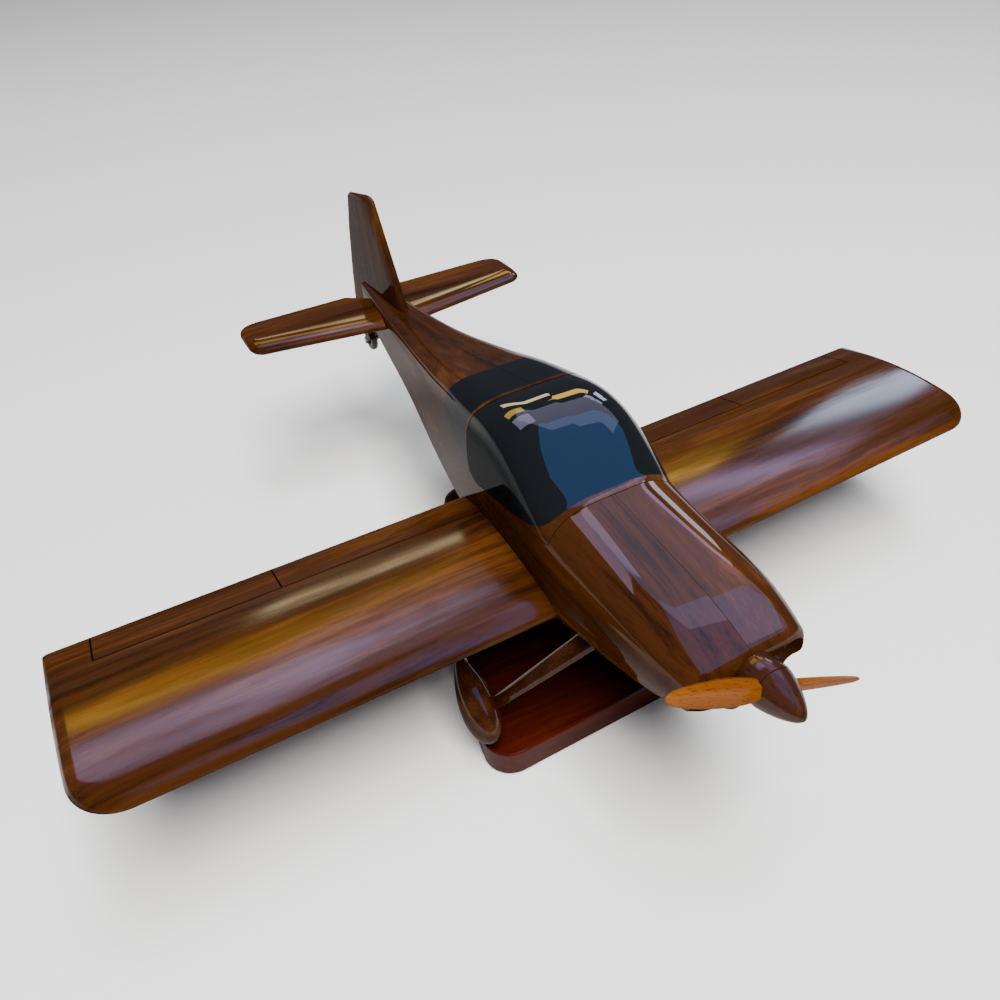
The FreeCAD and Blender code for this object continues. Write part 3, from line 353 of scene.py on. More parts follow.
# ---------------------------------------------------------------- wings
WING_CHORD, WING_ROOT = 80.4, 15
WING_NOSE, WING_TAIL_THICKNESS, CROWN_RADIUS = 4, 1.4, 157
TIP_RISE = 1.9
TIP_START = 165        # from here outwards the wing is built in finer steps
TIP_THINNING = 2.9     # how much less the nose hangs down at the tip
HINGE_STATION, AILERON_ENDS = 62.8, (108.3, 174)


def crown_level(station):
    """Level of the wing's long top arc, which leaves the nose smoothly and ends at the rear edge."""
    nose, rear = np.array([WING_NOSE, 0.0]), np.array([WING_CHORD, WING_TAIL_THICKNESS - WING_NOSE])
    gap = np.hypot(*(rear - nose))
    inner = CROWN_RADIUS - WING_NOSE
    along = (inner ** 2 - CROWN_RADIUS ** 2 + gap ** 2) / (2 * gap)
    unit = (rear - nose) / gap
    centre = nose + along * unit + math.sqrt(inner ** 2 - along ** 2) * np.array([unit[1], -unit[0]])
    return centre[1] + np.sqrt(CROWN_RADIUS ** 2 - (station - centre[0]) ** 2)


def wing_rise(x):
    return TIP_RISE * (abs(x) - WING_ROOT) / (HALF_SPAN - WING_ROOT)


def wing_solid(name, side):
    """A wing: round nose, arched top, nearly flat underside, and a tip that is rounded all round."""
    front_round, rear_round, tip_round = 17, 1.5, 5
    out = np.concatenate([np.linspace(WING_ROOT, TIP_START, 60, endpoint=False),
                          TIP_START + (HALF_SPAN - TIP_START) * crowded(60, (False, True))])
    share = crowded(110)
    rings = []
    for x in out:
        from_tip = HALF_SPAN - x
        front = front_round * (1 - rounding(from_tip, front_round, 2))
        rear = WING_CHORD - rear_round * (1 - rounding(from_tip, rear_round, 2))
        station = front + (rear - front) * share
        top, middle = crown_level(station), (crown_level(station) - WING_NOSE) / 2
        edge = rounding(from_tip, tip_round) * rounding(rear - station, 0.6)
        upper = middle + (top - middle) * edge * rounding(station - front, 9)
        thinning = TIP_THINNING * (0.2 + 0.8 * (x - WING_ROOT) / (HALF_SPAN - WING_ROOT))
        hang = WING_NOSE - thinning * (1 - station / WING_CHORD) ** 2
        lower = middle - (middle + hang) * edge * rounding(station - front, 5.5)
        level = np.concatenate([upper, lower[-2:0:-1]]) + wing_rise(x)
        rings.append(row(side * x, np.concatenate([station, station[-2:0:-1]]), level))
    return skin(name, rings)


WING_LINES = [   # both ends of an engraved line, as (x, station), and its depth
    ((AILERON_ENDS[0], HINGE_STATION), (AILERON_ENDS[1], HINGE_STATION), 0.9),
    ((WING_ROOT + 8, HINGE_STATION), (AILERON_ENDS[0] - 0.6, HINGE_STATION), 0.3),
    ((AILERON_ENDS[0], HINGE_STATION), (AILERON_ENDS[0], WING_CHORD - 0.9), 0.6),
    ((AILERON_ENDS[1], HINGE_STATION), (AILERON_ENDS[1], WING_CHORD - 0.9), 0.6),
]


def wing_lines(side, width, above):
    """One wedge along each engraved line over the top of a wing."""
    wedges = []
    for start, end, depth in WING_LINES:
        x, station = (np.linspace(a, b, 24) for a, b in zip(start, end))
        slope = (crown_level(station + 0.1) - crown_level(station - 0.1)) / 0.2
        normal = np.stack([0 * x, -slope, 1 + 0 * x], axis=1)
        place = row(side * x, station, crown_level(station) + wing_rise(x))
        wedges.append(scribe("wing_line", place, normal, width, depth, above))
    return wedges


def build_wings():
    """Yields each wing with the near-black strips laid in its engraved lines as painted shade."""
    for side, word in ((1, "left"), (-1, "right")):
        wing = combine(wing_solid(f"wing_{word}", side), "DIFFERENCE", *wing_lines(side, 0.66, 1.2))
        fitted(wing)
        # These strips sit in the grooves and paint shade into them.
        first, *others = wing_lines(side, 0.62, -0.02)
        groove_shade = combine(first, "UNION", *others)
        groove_shade.name = f"wing_lines_{word}"
        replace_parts(wing, f"{word}_wing")
        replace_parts(groove_shade, f"{word}_wing")
        yield wing, groove_shade


# ---------------------------------------------------------------- tail
TAIL_LEVEL = 20.9
TAIL_OUTLINE = {"root_front": 190.6, "sweep": 12.4, "rear": 233.7, "notch_x": 15.5, "notch": 220}


def tailplane_solid(name, side):
    """A tailplane half: full in front, thin behind, with a rounded tip."""
    tip, plan = TAIL_HALF_SPAN, TAIL_OUTLINE
    out = np.concatenate([np.linspace(2, plan["notch_x"], 14, endpoint=False),
                          np.linspace(plan["notch_x"], 58, 24, endpoint=False),
                          58 + (tip - 58) * crowded(44, (False, True))])
    share = crowded(72)
    rings = []
    for x in out:
        front = plan["root_front"] + plan["sweep"] * x / tip + 6 * (1 - rounding(tip - x, 6, 2))
        notch = plan["notch"] + (plan["rear"] - plan["notch"]) * (x - 2) / (plan["notch_x"] - 2)
        rear = min(plan["rear"], notch) - 11 * (1 - rounding(tip - x, 11, 2))
        station = front + (rear - front) * share
        depth = (station - front) / (plan["rear"] - front)
        thick = 3 - 2.1 * np.clip((depth - 0.3) / 0.7, 0, 1) ** 1.5
        edge = rounding(tip - x, 6) * rounding(station - front, 10) * rounding(rear - station, 1)
        level = np.concatenate([thick * edge, -(thick * edge)[-2:0:-1]])
        rings.append(row(side * x, np.concatenate([station, station[-2:0:-1]]), TAIL_LEVEL + level))
    return skin(name, rings)


FIN_FOOT, FIN_TOP = 22, 78.4
FIN_FRONT = curve([(FIN_FOOT, 182), (50, 197.6), (FIN_TOP, 213.4)])
RUDDER_FOOT, RUDDER_FOOT_SLOPE = 260.2, 0.19
RUDDER_END = curve([(FIN_FOOT, RUDDER_FOOT), (70, 247.6), (FIN_TOP, 245.4)])
RUDDER_LINE = 231


def fin_half_thickness(station, front, rear):
    depth = (station - front) / (rear - front)
    return 2.5 - 1.7 * np.clip((depth - 0.35) / 0.65, 0, 1) ** 1.4


def fin_solid(name):
    """Fin and rudder in one board, with a sloping top and a soft front edge."""
    buried, top_start = 17, 62    # depth inside the fuselage; level where the finer steps start
    levels = np.concatenate([np.linspace(FIN_FOOT - buried, top_start, 60, endpoint=False),
                             top_start + (FIN_TOP - top_start) * crowded(50, (False, True))])
    share = crowded(72)
    rings = []
    for level in levels:
        drop = FIN_TOP - level
        front = FIN_FRONT(level) if level > FIN_FOOT else FIN_FRONT(FIN_FOOT) + 2.6 * (FIN_FOOT - level)
        front = front + 4 * (1 - rounding(drop, 4, 2))
        below = max(0, FIN_FOOT - level)
        rear = RUDDER_END(level) if level > FIN_FOOT else RUDDER_FOOT + below * RUDDER_FOOT_SLOPE
        rear = rear - 4 * (1 - rounding(drop, 4, 2))
        station = front + (rear - front) * share
        slope = np.clip((station - 213) / 34, 0, 1) * 8 * np.clip((level - 50) / (FIN_TOP - 50), 0, 1)
        edge = rounding(drop, 4) * rounding(station - front, 9) * rounding(rear - station, 1)
        half = fin_half_thickness(station, front, rear) * edge
        rings.append(row(np.concatenate([half, -half[-2:0:-1]]),
                         np.concatenate([station, station[-2:0:-1]]),
                         level - np.concatenate([slope, slope[-2:0:-1]])))
    return skin(name, rings)


def build_tail():
    for side, word in ((1, "left"), (-1, "right")):
        board = fitted(tailplane_solid(f"tailplane_{word}", side))
        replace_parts(board, f"{word}_tailplane")
        yield board
    fin = fin_solid("fin_and_rudder_board")
    level = np.linspace(FIN_FOOT, FIN_TOP + 2, 20)
    half = fin_half_thickness(RUDDER_LINE, FIN_FRONT(level), RUDDER_END(level))
    lines = [scribe("rudder_line", row(side * half, RUDDER_LINE, level), [(side, 0, 0)] * 20,
                    width=0.36, depth=0.45) for side in (1, -1)]
    combine(fin, "DIFFERENCE", *lines)
    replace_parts(fitted(fin), "fin_and_rudder")
    yield fin


# ---------------------------------------------------------------- main gear
TRACK, WHEEL_STATION, WHEEL_LEVEL, WHEEL_RADIUS = 59.2, 5, -48.1, 7
LEG_HEAD, LEG_FOOT = np.array([19, -14.4, 0.1]), np.array([54.5, 8.7, -43.7])
SPAT_LENGTH, SPAT_NOSE, SPAT_BELLY = 29.3, -4, 0.42
SPAT_HALF_WIDTH, SPAT_HALF_HEIGHT = 7, 9.7
SPAT_LEVEL, SPAT_RISE = -45.5, 20
WELL_HALF_WIDTH, WELL_RADIUS = 2.9, 7.6


def spat_solid(name, side):
    """A teardrop over the wheel: blunt in front, drawn up and out to a point behind."""
    share = np.sort(np.concatenate([crowded(60), SPAT_BELLY * crowded(20, (True, False))[1:8]]))
    turn = np.linspace(0, 2 * np.pi, 72, endpoint=False)
    rings = []
    for t in share:
        ahead, behind = (SPAT_BELLY - t) / SPAT_BELLY, (t - SPAT_BELLY) / (1 - SPAT_BELLY)
        size = math.sqrt(max(0, 1 - ahead ** 2)) if t < SPAT_BELLY else 1 - behind ** 2
        rings.append(row(side * TRACK + SPAT_HALF_WIDTH * size * np.cos(turn),
                         SPAT_NOSE + SPAT_LENGTH * t,
                         SPAT_LEVEL + SPAT_RISE * t ** 2 + SPAT_HALF_HEIGHT * size * np.sin(turn)))
    return skin(name, rings, closed_ends=False)


def leg_solid(name, side):
    """A flat tapered strut from the firewall down to the spat, rounded in front and thin behind."""
    along = (LEG_FOOT - LEG_HEAD) / np.linalg.norm(LEG_FOOT - LEG_HEAD)
    broad = np.array([0, 1, 0]) - along[1] * along
    broad /= np.linalg.norm(broad)
    flat = np.cross(along, broad)
    turn = np.linspace(0, 2 * np.pi, 56, endpoint=False)
    rings = []
    for t in np.linspace(0, 1, 40):
        chord, thickness = 9.4 - 4.2 * t, 3.4 - 0.9 * t
        fore = np.cos(turn)[:, None] * chord / 2
        side_face = (np.sin(turn) * (1 - 0.28 * np.cos(turn)))[:, None] * thickness / 2
        place = LEG_HEAD + (LEG_FOOT - LEG_HEAD) * t + broad * fore + flat * side_face
        rings.append(row(side * place[:, 0], place[:, 1], place[:, 2]))
    return skin(name, rings)


def tyre_profile(radius, width, bore):
    """Half a tyre's outline, as (distance along the axle, radius), closed on itself."""
    turn = np.linspace(-0.5 * np.pi, 0.5 * np.pi, 28)
    tread = [(width / 2 * np.sin(a) * abs(np.sin(a)) ** -0.25 if a else 0,
              radius - (radius - bore) * 0.62 * (1 - np.cos(a) ** 0.8)) for a in turn]
    return [(-width * 0.42, bore)] + tread + [(width * 0.42, bore)]


def wheel(name, centre, radius, width, axle, node):
    """A rubber tyre on a turned hub with a dished face; both turn on the axle."""
    rim = radius * 0.52
    tyre = lathe(f"{name}_tyre", tyre_profile(radius, width, rim), centre, closed=True)
    face, dish = width * 0.42, width * 0.26
    hub = lathe(f"{name}_hub", [
        (-face, axle + 0.8), (-face, axle), (face, axle), (face, axle + 0.8), (dish, axle + 1.2),
        (dish, rim - 0.9), (face, rim - 0.35), (face, rim - 0.02), (-face, rim - 0.02),
        (-face, rim - 0.35), (-dish, rim - 0.9), (-dish, axle + 1.2)], centre, closed=True)
    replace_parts(tyre, node)
    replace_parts(hub, node)
    return tyre, hub


def build_main_gear():
    """Yields (spat, leg, tyre, hub) for each side."""
    for side, word in ((1, "left"), (-1, "right")):
        centre = (side * TRACK, WHEEL_STATION, WHEEL_LEVEL)
        well = lathe("wheel_well", [(-WELL_HALF_WIDTH, 0.01), (-WELL_HALF_WIDTH, WELL_RADIUS),
                                    (WELL_HALF_WIDTH, WELL_RADIUS), (WELL_HALF_WIDTH, 0.01)], centre)
        spat = combine(spat_solid(f"spat_{word}", side), "DIFFERENCE", well)
        leg = fitted(leg_solid(f"leg_{word}", side))
        combine(leg, "DIFFERENCE", spat_solid("spat_form", side))
        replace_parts(spat, f"{word}_wheel_spat")
        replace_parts(leg, f"{word}_gear_leg")
        yield word, spat, leg, *wheel(f"{word}_main_wheel", centre, WHEEL_RADIUS, 4.4, 0.95,
                                      f"{word}_main_wheel")


# ---------------------------------------------------------------- propeller
PROPELLER_LEVEL, SPINNER_RADIUS = 19.8, 7.75
SPINNER_TIP, SPINNER_JOINT, SPINNER_BACK = -88.6, -74.4, -66.1
BLADE_STATION, BLADE_REACH, BLADE_PITCH, BLADE_TURN = -75, 46.5, 28, 29
BLADE_CHORD = curve([(3, 5.6), (9, 7.2), (17, 8.4), (27, 8), (36, 6.5), (42, 4.8), (46.5, 2.8)])
BLADE_THICKNESS = curve([(3, 3.6), (9, 3.5), (18, 3), (30, 2.4), (40, 1.8), (46.5, 1.2)])


def spinner_profile(grow=0.0):
    """The pointed spinner, as (station from the joint, radius), with a narrow step at the joint."""
    length = SPINNER_JOINT - SPINNER_TIP
    t = 1 - crowded(60, (True, False))
    side = [(-length * u - grow * u, SPINNER_RADIUS * (1 - u ** 1.2) ** 0.594 + grow) for u in t[::-1]]
    return [(-0.02, 1.2), (-0.02, SPINNER_RADIUS - 0.45), (-0.3, SPINNER_RADIUS - 0.42),
            (-0.36, SPINNER_RADIUS - 0.08)] + side[2:-1] + [(-length - grow, 0.004)]


def blade_solid(name, turn):
    """A carved blade: nearly flat in front with a broad bevel on its lower edge, rounded behind."""
    pitch = math.radians(BLADE_PITCH)
    chordwise = np.array([0, -math.sin(pitch), math.cos(pitch)])
    forward = np.array([0, -math.cos(pitch), -math.sin(pitch)])
    spin = np.array(Matrix.Rotation(math.radians(turn), 3, "Y"))
    front_side = np.cos(np.linspace(0, np.pi, 41))
    back_side = np.cos(np.linspace(np.pi, 2 * np.pi, 41))[1:-1]
    across = np.concatenate([front_side, back_side])
    front = np.arange(len(across)) < len(front_side)
    root, tip_start = 3, 40
    reaches = np.concatenate([np.linspace(root, tip_start, 60, endpoint=False),
                              tip_start + (BLADE_REACH - tip_start) * crowded(30, (False, True))])
    rings = []
    for reach in reaches:
        end = rounding(BLADE_REACH - reach, 3.6, 2)
        chord, thick = BLADE_CHORD(reach) * end, BLADE_THICKNESS(reach) * (0.35 + 0.65 * end)
        belly = (1 - abs(across) ** 3.2) ** 0.5
        bevel = np.clip((across + 1) / 0.62, 0, 1)
        face = np.where(front, np.minimum(0.42 * belly, 0.62 * bevel - 0.2), -0.58 * belly)
        point = (reach * np.array([1, 0, 0]) + (across * chord / 2)[:, None] * chordwise
                 + (face * thick * min(1, 3 * end))[:, None] * forward)
        point = point @ spin.T
        rings.append(row(point[:, 0], BLADE_STATION + point[:, 1], PROPELLER_LEVEL + point[:, 2]))
    return skin(name, rings)


def build_propeller():
    centre = (0, SPINNER_JOINT, PROPELLER_LEVEL)
    cone = lathe("spinner_cone", spinner_profile(), centre, "Y", 128)
    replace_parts(cone, "spinner_cone")
    depth = SPINNER_BACK - SPINNER_JOINT
    collar = lathe("spinner_collar", [
        (0.02, 1.35), (0.02, SPINNER_RADIUS - 0.4), (0.12, SPINNER_RADIUS - 0.12), (0.5, SPINNER_RADIUS),
        (depth * 0.5, SPINNER_RADIUS - 0.32), (depth - 0.5, SPINNER_RADIUS - 0.85),
        (depth - 0.1, SPINNER_RADIUS - 1.05), (depth, SPINNER_RADIUS - 1.4), (depth, 1.35)],
        centre, "Y", 128, closed=True)
    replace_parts(collar, "spinner_backplate")
    blades = []
    for word, turn in (("one", BLADE_TURN), ("two", BLADE_TURN + 180)):
        blade = blade_solid(f"blade_{word}", turn)
        combine(blade, "DIFFERENCE", lathe("cone_form", spinner_profile(0.05)[3:], centre, "Y", 128),
                lathe("collar_form", [(-0.4, 0.01), (-0.4, 7.8), (depth, 7.8), (depth, 0.01)], centre, "Y"))
        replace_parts(blade, f"propeller_blade_{word}")
        blades.append(blade)
    return cone, collar, blades


# ---------------------------------------------------------------- shader helpers
def add(tree, kind, settings=None, **inputs):
    """A node with its settings and inputs; an input that is a socket is linked."""
    node = tree.nodes.new(kind)
    for key, value in (settings or {}).items():
        setattr(node, key, value)
    for key, value in inputs.items():
        feed(tree, node.inputs[key.replace("_", " ")], value)
    return node


def feed(tree, socket, value):
    if isinstance(value, bpy.types.NodeSocket):
        tree.links.new(value, socket)
    else:
        socket.default_value = value


def math_node(tree, operation, a, b=0.0, clamp=False):
    node = add(tree, "ShaderNodeMath", {"operation": operation, "use_clamp": clamp})
    feed(tree, node.inputs[0], a)
    feed(tree, node.inputs[1], b)
    return node.outputs[0]


def blend(tree, factor, a, b, how="MIX"):
    node = add(tree, "ShaderNodeMix", {"data_type": "RGBA", "blend_type": how})
    for index, value in ((0, factor), (6, a), (7, b)):
        feed(tree, node.inputs[index], value)
    return node.outputs[2]


def ramp(tree, value, low, high):
    """0 below low and 1 above high, smoothly."""
    node = add(tree, "ShaderNodeMapRange", {"interpolation_type": "SMOOTHSTEP"}, Value=value)
    node.inputs["From Min"].default_value, node.inputs["From Max"].default_value = low, high
    return node.outputs[0]


def stretched(tree, vector, scale):
    node = add(tree, "ShaderNodeVectorMath", {"operation": "MULTIPLY"})
    feed(tree, node.inputs[0], vector)
    node.inputs[1].default_value = scale
    return node.outputs[0]


def noise(tree, vector, detail, roughness=0.5, scale=1.0):
    node = add(tree, "ShaderNodeTexNoise", Vector=vector, Scale=scale, Detail=detail, Roughness=roughness)
    return node.outputs["Fac"]


def new_group(name, inputs, outputs):
    group = bpy.data.node_groups.new(name, "ShaderNodeTree")
    for direction, sockets in (("INPUT", inputs), ("OUTPUT", outputs)):
        for label, kind in sockets.items():
            group.interface.new_socket(label, in_out=direction, socket_type=f"NodeSocket{kind}")
    return group, group.nodes.new("NodeGroupInput").outputs, group.nodes.new("NodeGroupOutput").inputs


def place_group(tree, group, **inputs):
    return add(tree, "ShaderNodeGroup", {"node_tree": group}, **inputs).outputs


# ---------------------------------------------------------------- wood
def make_wood_group():
    """Sawn hardwood with its grain along X: broad tones, ribbon stripes, fibres and open pores."""
    group, given, out = new_group(
        "hardwood grain",
        {"Place": "Vector", "Dark": "Color", "Middle": "Color", "Pale": "Color", "Stripe": "Float",
         "Pores": "Float", "Pore size": "Float", "Roughness": "Float"},
        {"Colour": "Color", "Height": "Float", "Roughness": "Float"})
    place = given["Place"]
    wander = noise(group, stretched(group, place, (5, 14, 14)), 2)
    drift = add(group, "ShaderNodeVectorMath", {"operation": "ADD"})
    feed(group, drift.inputs[0], place)
    sway = add(group, "ShaderNodeCombineXYZ", Y=math_node(group, "MULTIPLY", wander, 0.02),
               Z=math_node(group, "MULTIPLY", wander, 0.014))
    feed(group, drift.inputs[1], sway.outputs[0])
    bent = drift.outputs[0]
    tones = noise(group, stretched(group, bent, (7, 42, 42)), 3)
    stripes = noise(group, stretched(group, bent, (9, 230, 230)), 4, 0.6)
    fibres = noise(group, stretched(group, bent, (45, 1500, 1500)), 3, 0.65)
    tone = math_node(group, "MULTIPLY", ramp(group, tones, 0.32, 0.68), 0.5)
    stripe = math_node(group, "MULTIPLY", ramp(group, stripes, 0.34, 0.66), given["Stripe"])
    level = math_node(group, "ADD", tone, stripe)
    level = math_node(group, "ADD", level, math_node(group, "MULTIPLY", ramp(group, fibres, 0.3, 0.7), 0.16),
                      clamp=True)
    colour = blend(group, ramp(group, level, 0.0, 0.5), given["Dark"], given["Middle"])
    colour = blend(group, ramp(group, level, 0.5, 1.05), colour, given["Pale"])
    flecks = add(group, "ShaderNodeVectorMath", {"operation": "SCALE"})
    feed(group, flecks.inputs[0], stretched(group, bent, (0.11, 1, 1)))
    feed(group, flecks.inputs["Scale"], given["Pore size"])
    grain = noise(group, flecks.outputs[0], 1.5, 0.4)
    pores = math_node(group, "MULTIPLY", ramp(group, grain, 0.60, 0.70), given["Pores"], clamp=True)
    dark_pore = blend(group, 1.0, colour, (0.22, 0.17, 0.15, 1), "MULTIPLY")
    feed(group, out["Colour"], blend(group, pores, colour, dark_pore))
    height = math_node(group, "SUBTRACT", math_node(group, "MULTIPLY", fibres, 0.5), pores)
    feed(group, out["Height"], height)
    feed(group, out["Roughness"],
         math_node(group, "ADD", math_node(group, "MULTIPLY", pores, 0.25), given["Roughness"]))
    return group


def make_varnish_group():
    """How much varnish lies on the wood: less on steep faces, where varnish runs thin, with the drop made
    strong as painted shade that dims the sides' reflections, and lost again in long streaks.
    """
    group, given, out = new_group(
        "varnish weight with painted side shade",
        {"Place": "Vector", "Facing": "Vector", "Coat": "Float", "Side coat": "Float", "Streaks": "Float"},
        {"Weight": "Float"})
    # Less coat on faces that do not look up is painted shade that dims the reflections on the sides.
    upward = add(group, "ShaderNodeSeparateXYZ", Vector=given["Facing"]).outputs["Z"]
    extra = math_node(group, "SUBTRACT", given["Coat"], given["Side coat"])
    raised = math_node(group, "MULTIPLY", ramp(group, upward, 0.15, 0.75), extra)
    whole = math_node(group, "ADD", raised, given["Side coat"])
    brushed = noise(group, stretched(group, given["Place"], (7, 55, 55)), 4, 0.6)
    loss = math_node(group, "MULTIPLY", ramp(group, brushed, 0.38, 0.62), given["Streaks"])
    feed(group, out["Weight"], math_node(group, "MULTIPLY", whole, math_node(group, "SUBTRACT", 1.0, loss)))
    return group


def make_lacquer_group():
    """Black gloss lacquer over wood wherever the note is above zero."""
    labels = {"Colour": "Color", "Roughness": "Float", "Height": "Float"}
    group, given, out = new_group("lacquer over wood", {"Note": "Float", **labels}, labels)
    black = ramp(group, given["Note"], -0.06, 0.06)
    feed(group, out["Colour"], blend(group, black, given["Colour"], (0.004, 0.005, 0.006, 1)))
    smoother = math_node(group, "MULTIPLY", black, 0.36)
    feed(group, out["Roughness"], math_node(group, "SUBTRACT", given["Roughness"], smoother, clamp=True))
    bare = math_node(group, "SUBTRACT", 1.0, black)
    feed(group, out["Height"], math_node(group, "MULTIPLY", given["Height"], bare))
    return group


def make_mottle_group():
    """A fine mottle of colour, wear and relief for rubber, metal and cloth."""
    group, given, out = new_group(
        "fine mottle",
        {"Place": "Vector", "Colour": "Color", "Roughness": "Float", "Speck": "Float", "Scale": "Float"},
        {"Colour": "Color", "Roughness": "Float", "Height": "Float"})
    mottle = noise(group, given["Place"], 3, scale=given["Scale"])
    worn = noise(group, given["Place"], 2, scale=math_node(group, "MULTIPLY", given["Scale"], 1 / 9))
    dark = blend(group, 1.0, given["Colour"], (0.62, 0.62, 0.62, 1), "MULTIPLY")
    feed(group, out["Colour"], blend(group, ramp(group, mottle, 0.3, 0.7), dark, given["Colour"]))
    spread = math_node(group, "MULTIPLY", math_node(group, "SUBTRACT", worn, 0.5),
                       math_node(group, "MULTIPLY", given["Speck"], 2))
    feed(group, out["Roughness"], math_node(group, "ADD", spread, given["Roughness"]))
    feed(group, out["Height"], mottle)
    return group


WOOD, VARNISH, LACQUER, MOTTLE = (
    make() for make in (make_wood_group, make_varnish_group, make_lacquer_group, make_mottle_group))
WOOD_RELIEF = 0.00004    # how deep the grain is felt, in metres
GRAIN_ALONG = {"X": (0, 0, 0), "Y": (0, 0, math.radians(90)), "Z": (0, math.radians(90), 0)}


def new_material(name):
    material = bpy.data.materials.new(name)
    material.use_nodes = True
    tree = material.node_tree
    return material, tree, tree.nodes["Principled BSDF"]


def wood_nodes(tree, place, colours, along, tilt=(0, 0, 0), shift=(0, 0, 0), **given):
    """The grain group, turned so that the grain runs along an axis."""
    turned = add(tree, "ShaderNodeMapping", {"vector_type": "POINT"}, Vector=place)
    turned.inputs["Rotation"].default_value = [a + b for a, b in zip(GRAIN_ALONG[along], tilt)]
    turned.inputs["Location"].default_value = shift
    dark, middle, pale = ((*colour, 1) for colour in colours)
    return place_group(tree, WOOD, Place=turned.outputs[0], Dark=dark, Middle=middle, Pale=pale, **given)


def varnish_nodes(name, colours, along="X", stripe=0.36, pores=0.3, pore_size=1300,
                  coat_roughness=0.05, roughness=0.42, coat=0.62, side_coat=0.25, streaks=0.0, **grain):
    """Hardwood under clear gloss varnish, which is thinner on steep faces, partly as painted shade on the
    sides, and may lie in streaks.
    """
    material, tree, shader = new_material(name)
    place = add(tree, "ShaderNodeTexCoord").outputs
    wood = wood_nodes(tree, place["Object"], colours, along, Stripe=stripe, Pores=pores,
                      Pore_size=pore_size, Roughness=roughness, **grain)
    feed(tree, shader.inputs["Base Color"], wood["Colour"])
    feed(tree, shader.inputs["Roughness"], wood["Roughness"])
    shader.inputs["Specular IOR Level"].default_value = 0.0
    if coat:
        varnish = place_group(tree, VARNISH, Place=place["Object"], Facing=place["Normal"], Coat=coat,
                              Side_coat=side_coat, Streaks=streaks)
        feed(tree, shader.inputs["Coat Weight"], varnish["Weight"])
    else:
        shader.inputs["Coat Weight"].default_value = 0.0
    shader.inputs["Coat Roughness"].default_value = coat_roughness
    shader.inputs["Coat IOR"].default_value = 1.52
    relief_node = add(tree, "ShaderNodeBump", Height=wood["Height"], Distance=WOOD_RELIEF, Strength=1.0)
    feed(tree, shader.inputs["Normal"], relief_node.outputs[0])
    return material, tree, shader


def varnished(name, *args, **grain):
    return varnish_nodes(name, *args, **grain)[0]


def painted(name, *args, **grain):
    """Varnished hardwood with black gloss lacquer wherever a piece's lacquer note is above zero."""
    material, tree, shader = varnish_nodes(name, *args, **grain)
    note = add(tree, "ShaderNodeAttribute", {"attribute_name": "lacquer", "attribute_type": "GEOMETRY"})
    relief = next(node for node in tree.nodes if node.bl_idname == "ShaderNodeBump")
    sockets = {"Colour": shader.inputs["Base Color"], "Roughness": shader.inputs["Roughness"],
               "Height": relief.inputs["Height"]}
    under = {label: socket.links[0].from_socket for label, socket in sockets.items()}
    over = place_group(tree, LACQUER, Note=note.outputs["Fac"], **under)
    for label, socket in sockets.items():
        feed(tree, socket, over[label])
    return material


MAHOGANY = ((0.011, 0.0032, 0.0009), (0.034, 0.0100, 0.0018), (0.080, 0.027, 0.0050))
# The trim colours are a darker copy of the mahogany. This is painted shade for the spats, legs, chin scoop
# and tail wheel, which sit under the wings and body.
SHADED_TRIM_WOOD = ((0.007, 0.0016, 0.0005), (0.018, 0.0042, 0.0009), (0.040, 0.012, 0.0022))
RED_BASE = ((0.013, 0.0016, 0.0006), (0.032, 0.0034, 0.0010), (0.060, 0.0075, 0.0020))
BLADE_WOOD = ((0.065, 0.016, 0.002), (0.130, 0.037, 0.004), (0.20, 0.066, 0.008))
SPINNER_WOOD = ((0.011, 0.0034, 0.0018), (0.028, 0.0088, 0.0040), (0.056, 0.019, 0.008))
SANDED = ((0.30, 0.17, 0.09), (0.42, 0.26, 0.14), (0.52, 0.35, 0.20))


def plain_material(name, colour, roughness, metallic=0.0, speck=0.06, scale=1400, relief=0.00002,
                   shine=0.5):
    """A fine mottled surface for rubber, metal and cloth."""
    material, tree, shader = new_material(name)
    place = add(tree, "ShaderNodeTexCoord").outputs["Object"]
    mottle = place_group(tree, MOTTLE, Place=place, Colour=(*colour, 1), Roughness=roughness, Speck=speck,
                         Scale=scale)
    feed(tree, shader.inputs["Base Color"], mottle["Colour"])
    feed(tree, shader.inputs["Roughness"], mottle["Roughness"])
    shader.inputs["Metallic"].default_value = metallic
    shader.inputs["Specular IOR Level"].default_value = shine
    relief_node = add(tree, "ShaderNodeBump", Height=mottle["Height"], Distance=relief, Strength=0.6)
    feed(tree, shader.inputs["Normal"], relief_node.outputs[0])
    return material


def coat_piece(piece, material):
    """Give a piece or a CAD node one finish all over."""
    if not piece.material_slots:
        piece.data.materials.append(material)
    for slot in piece.material_slots:
        slot.material = material
    return piece


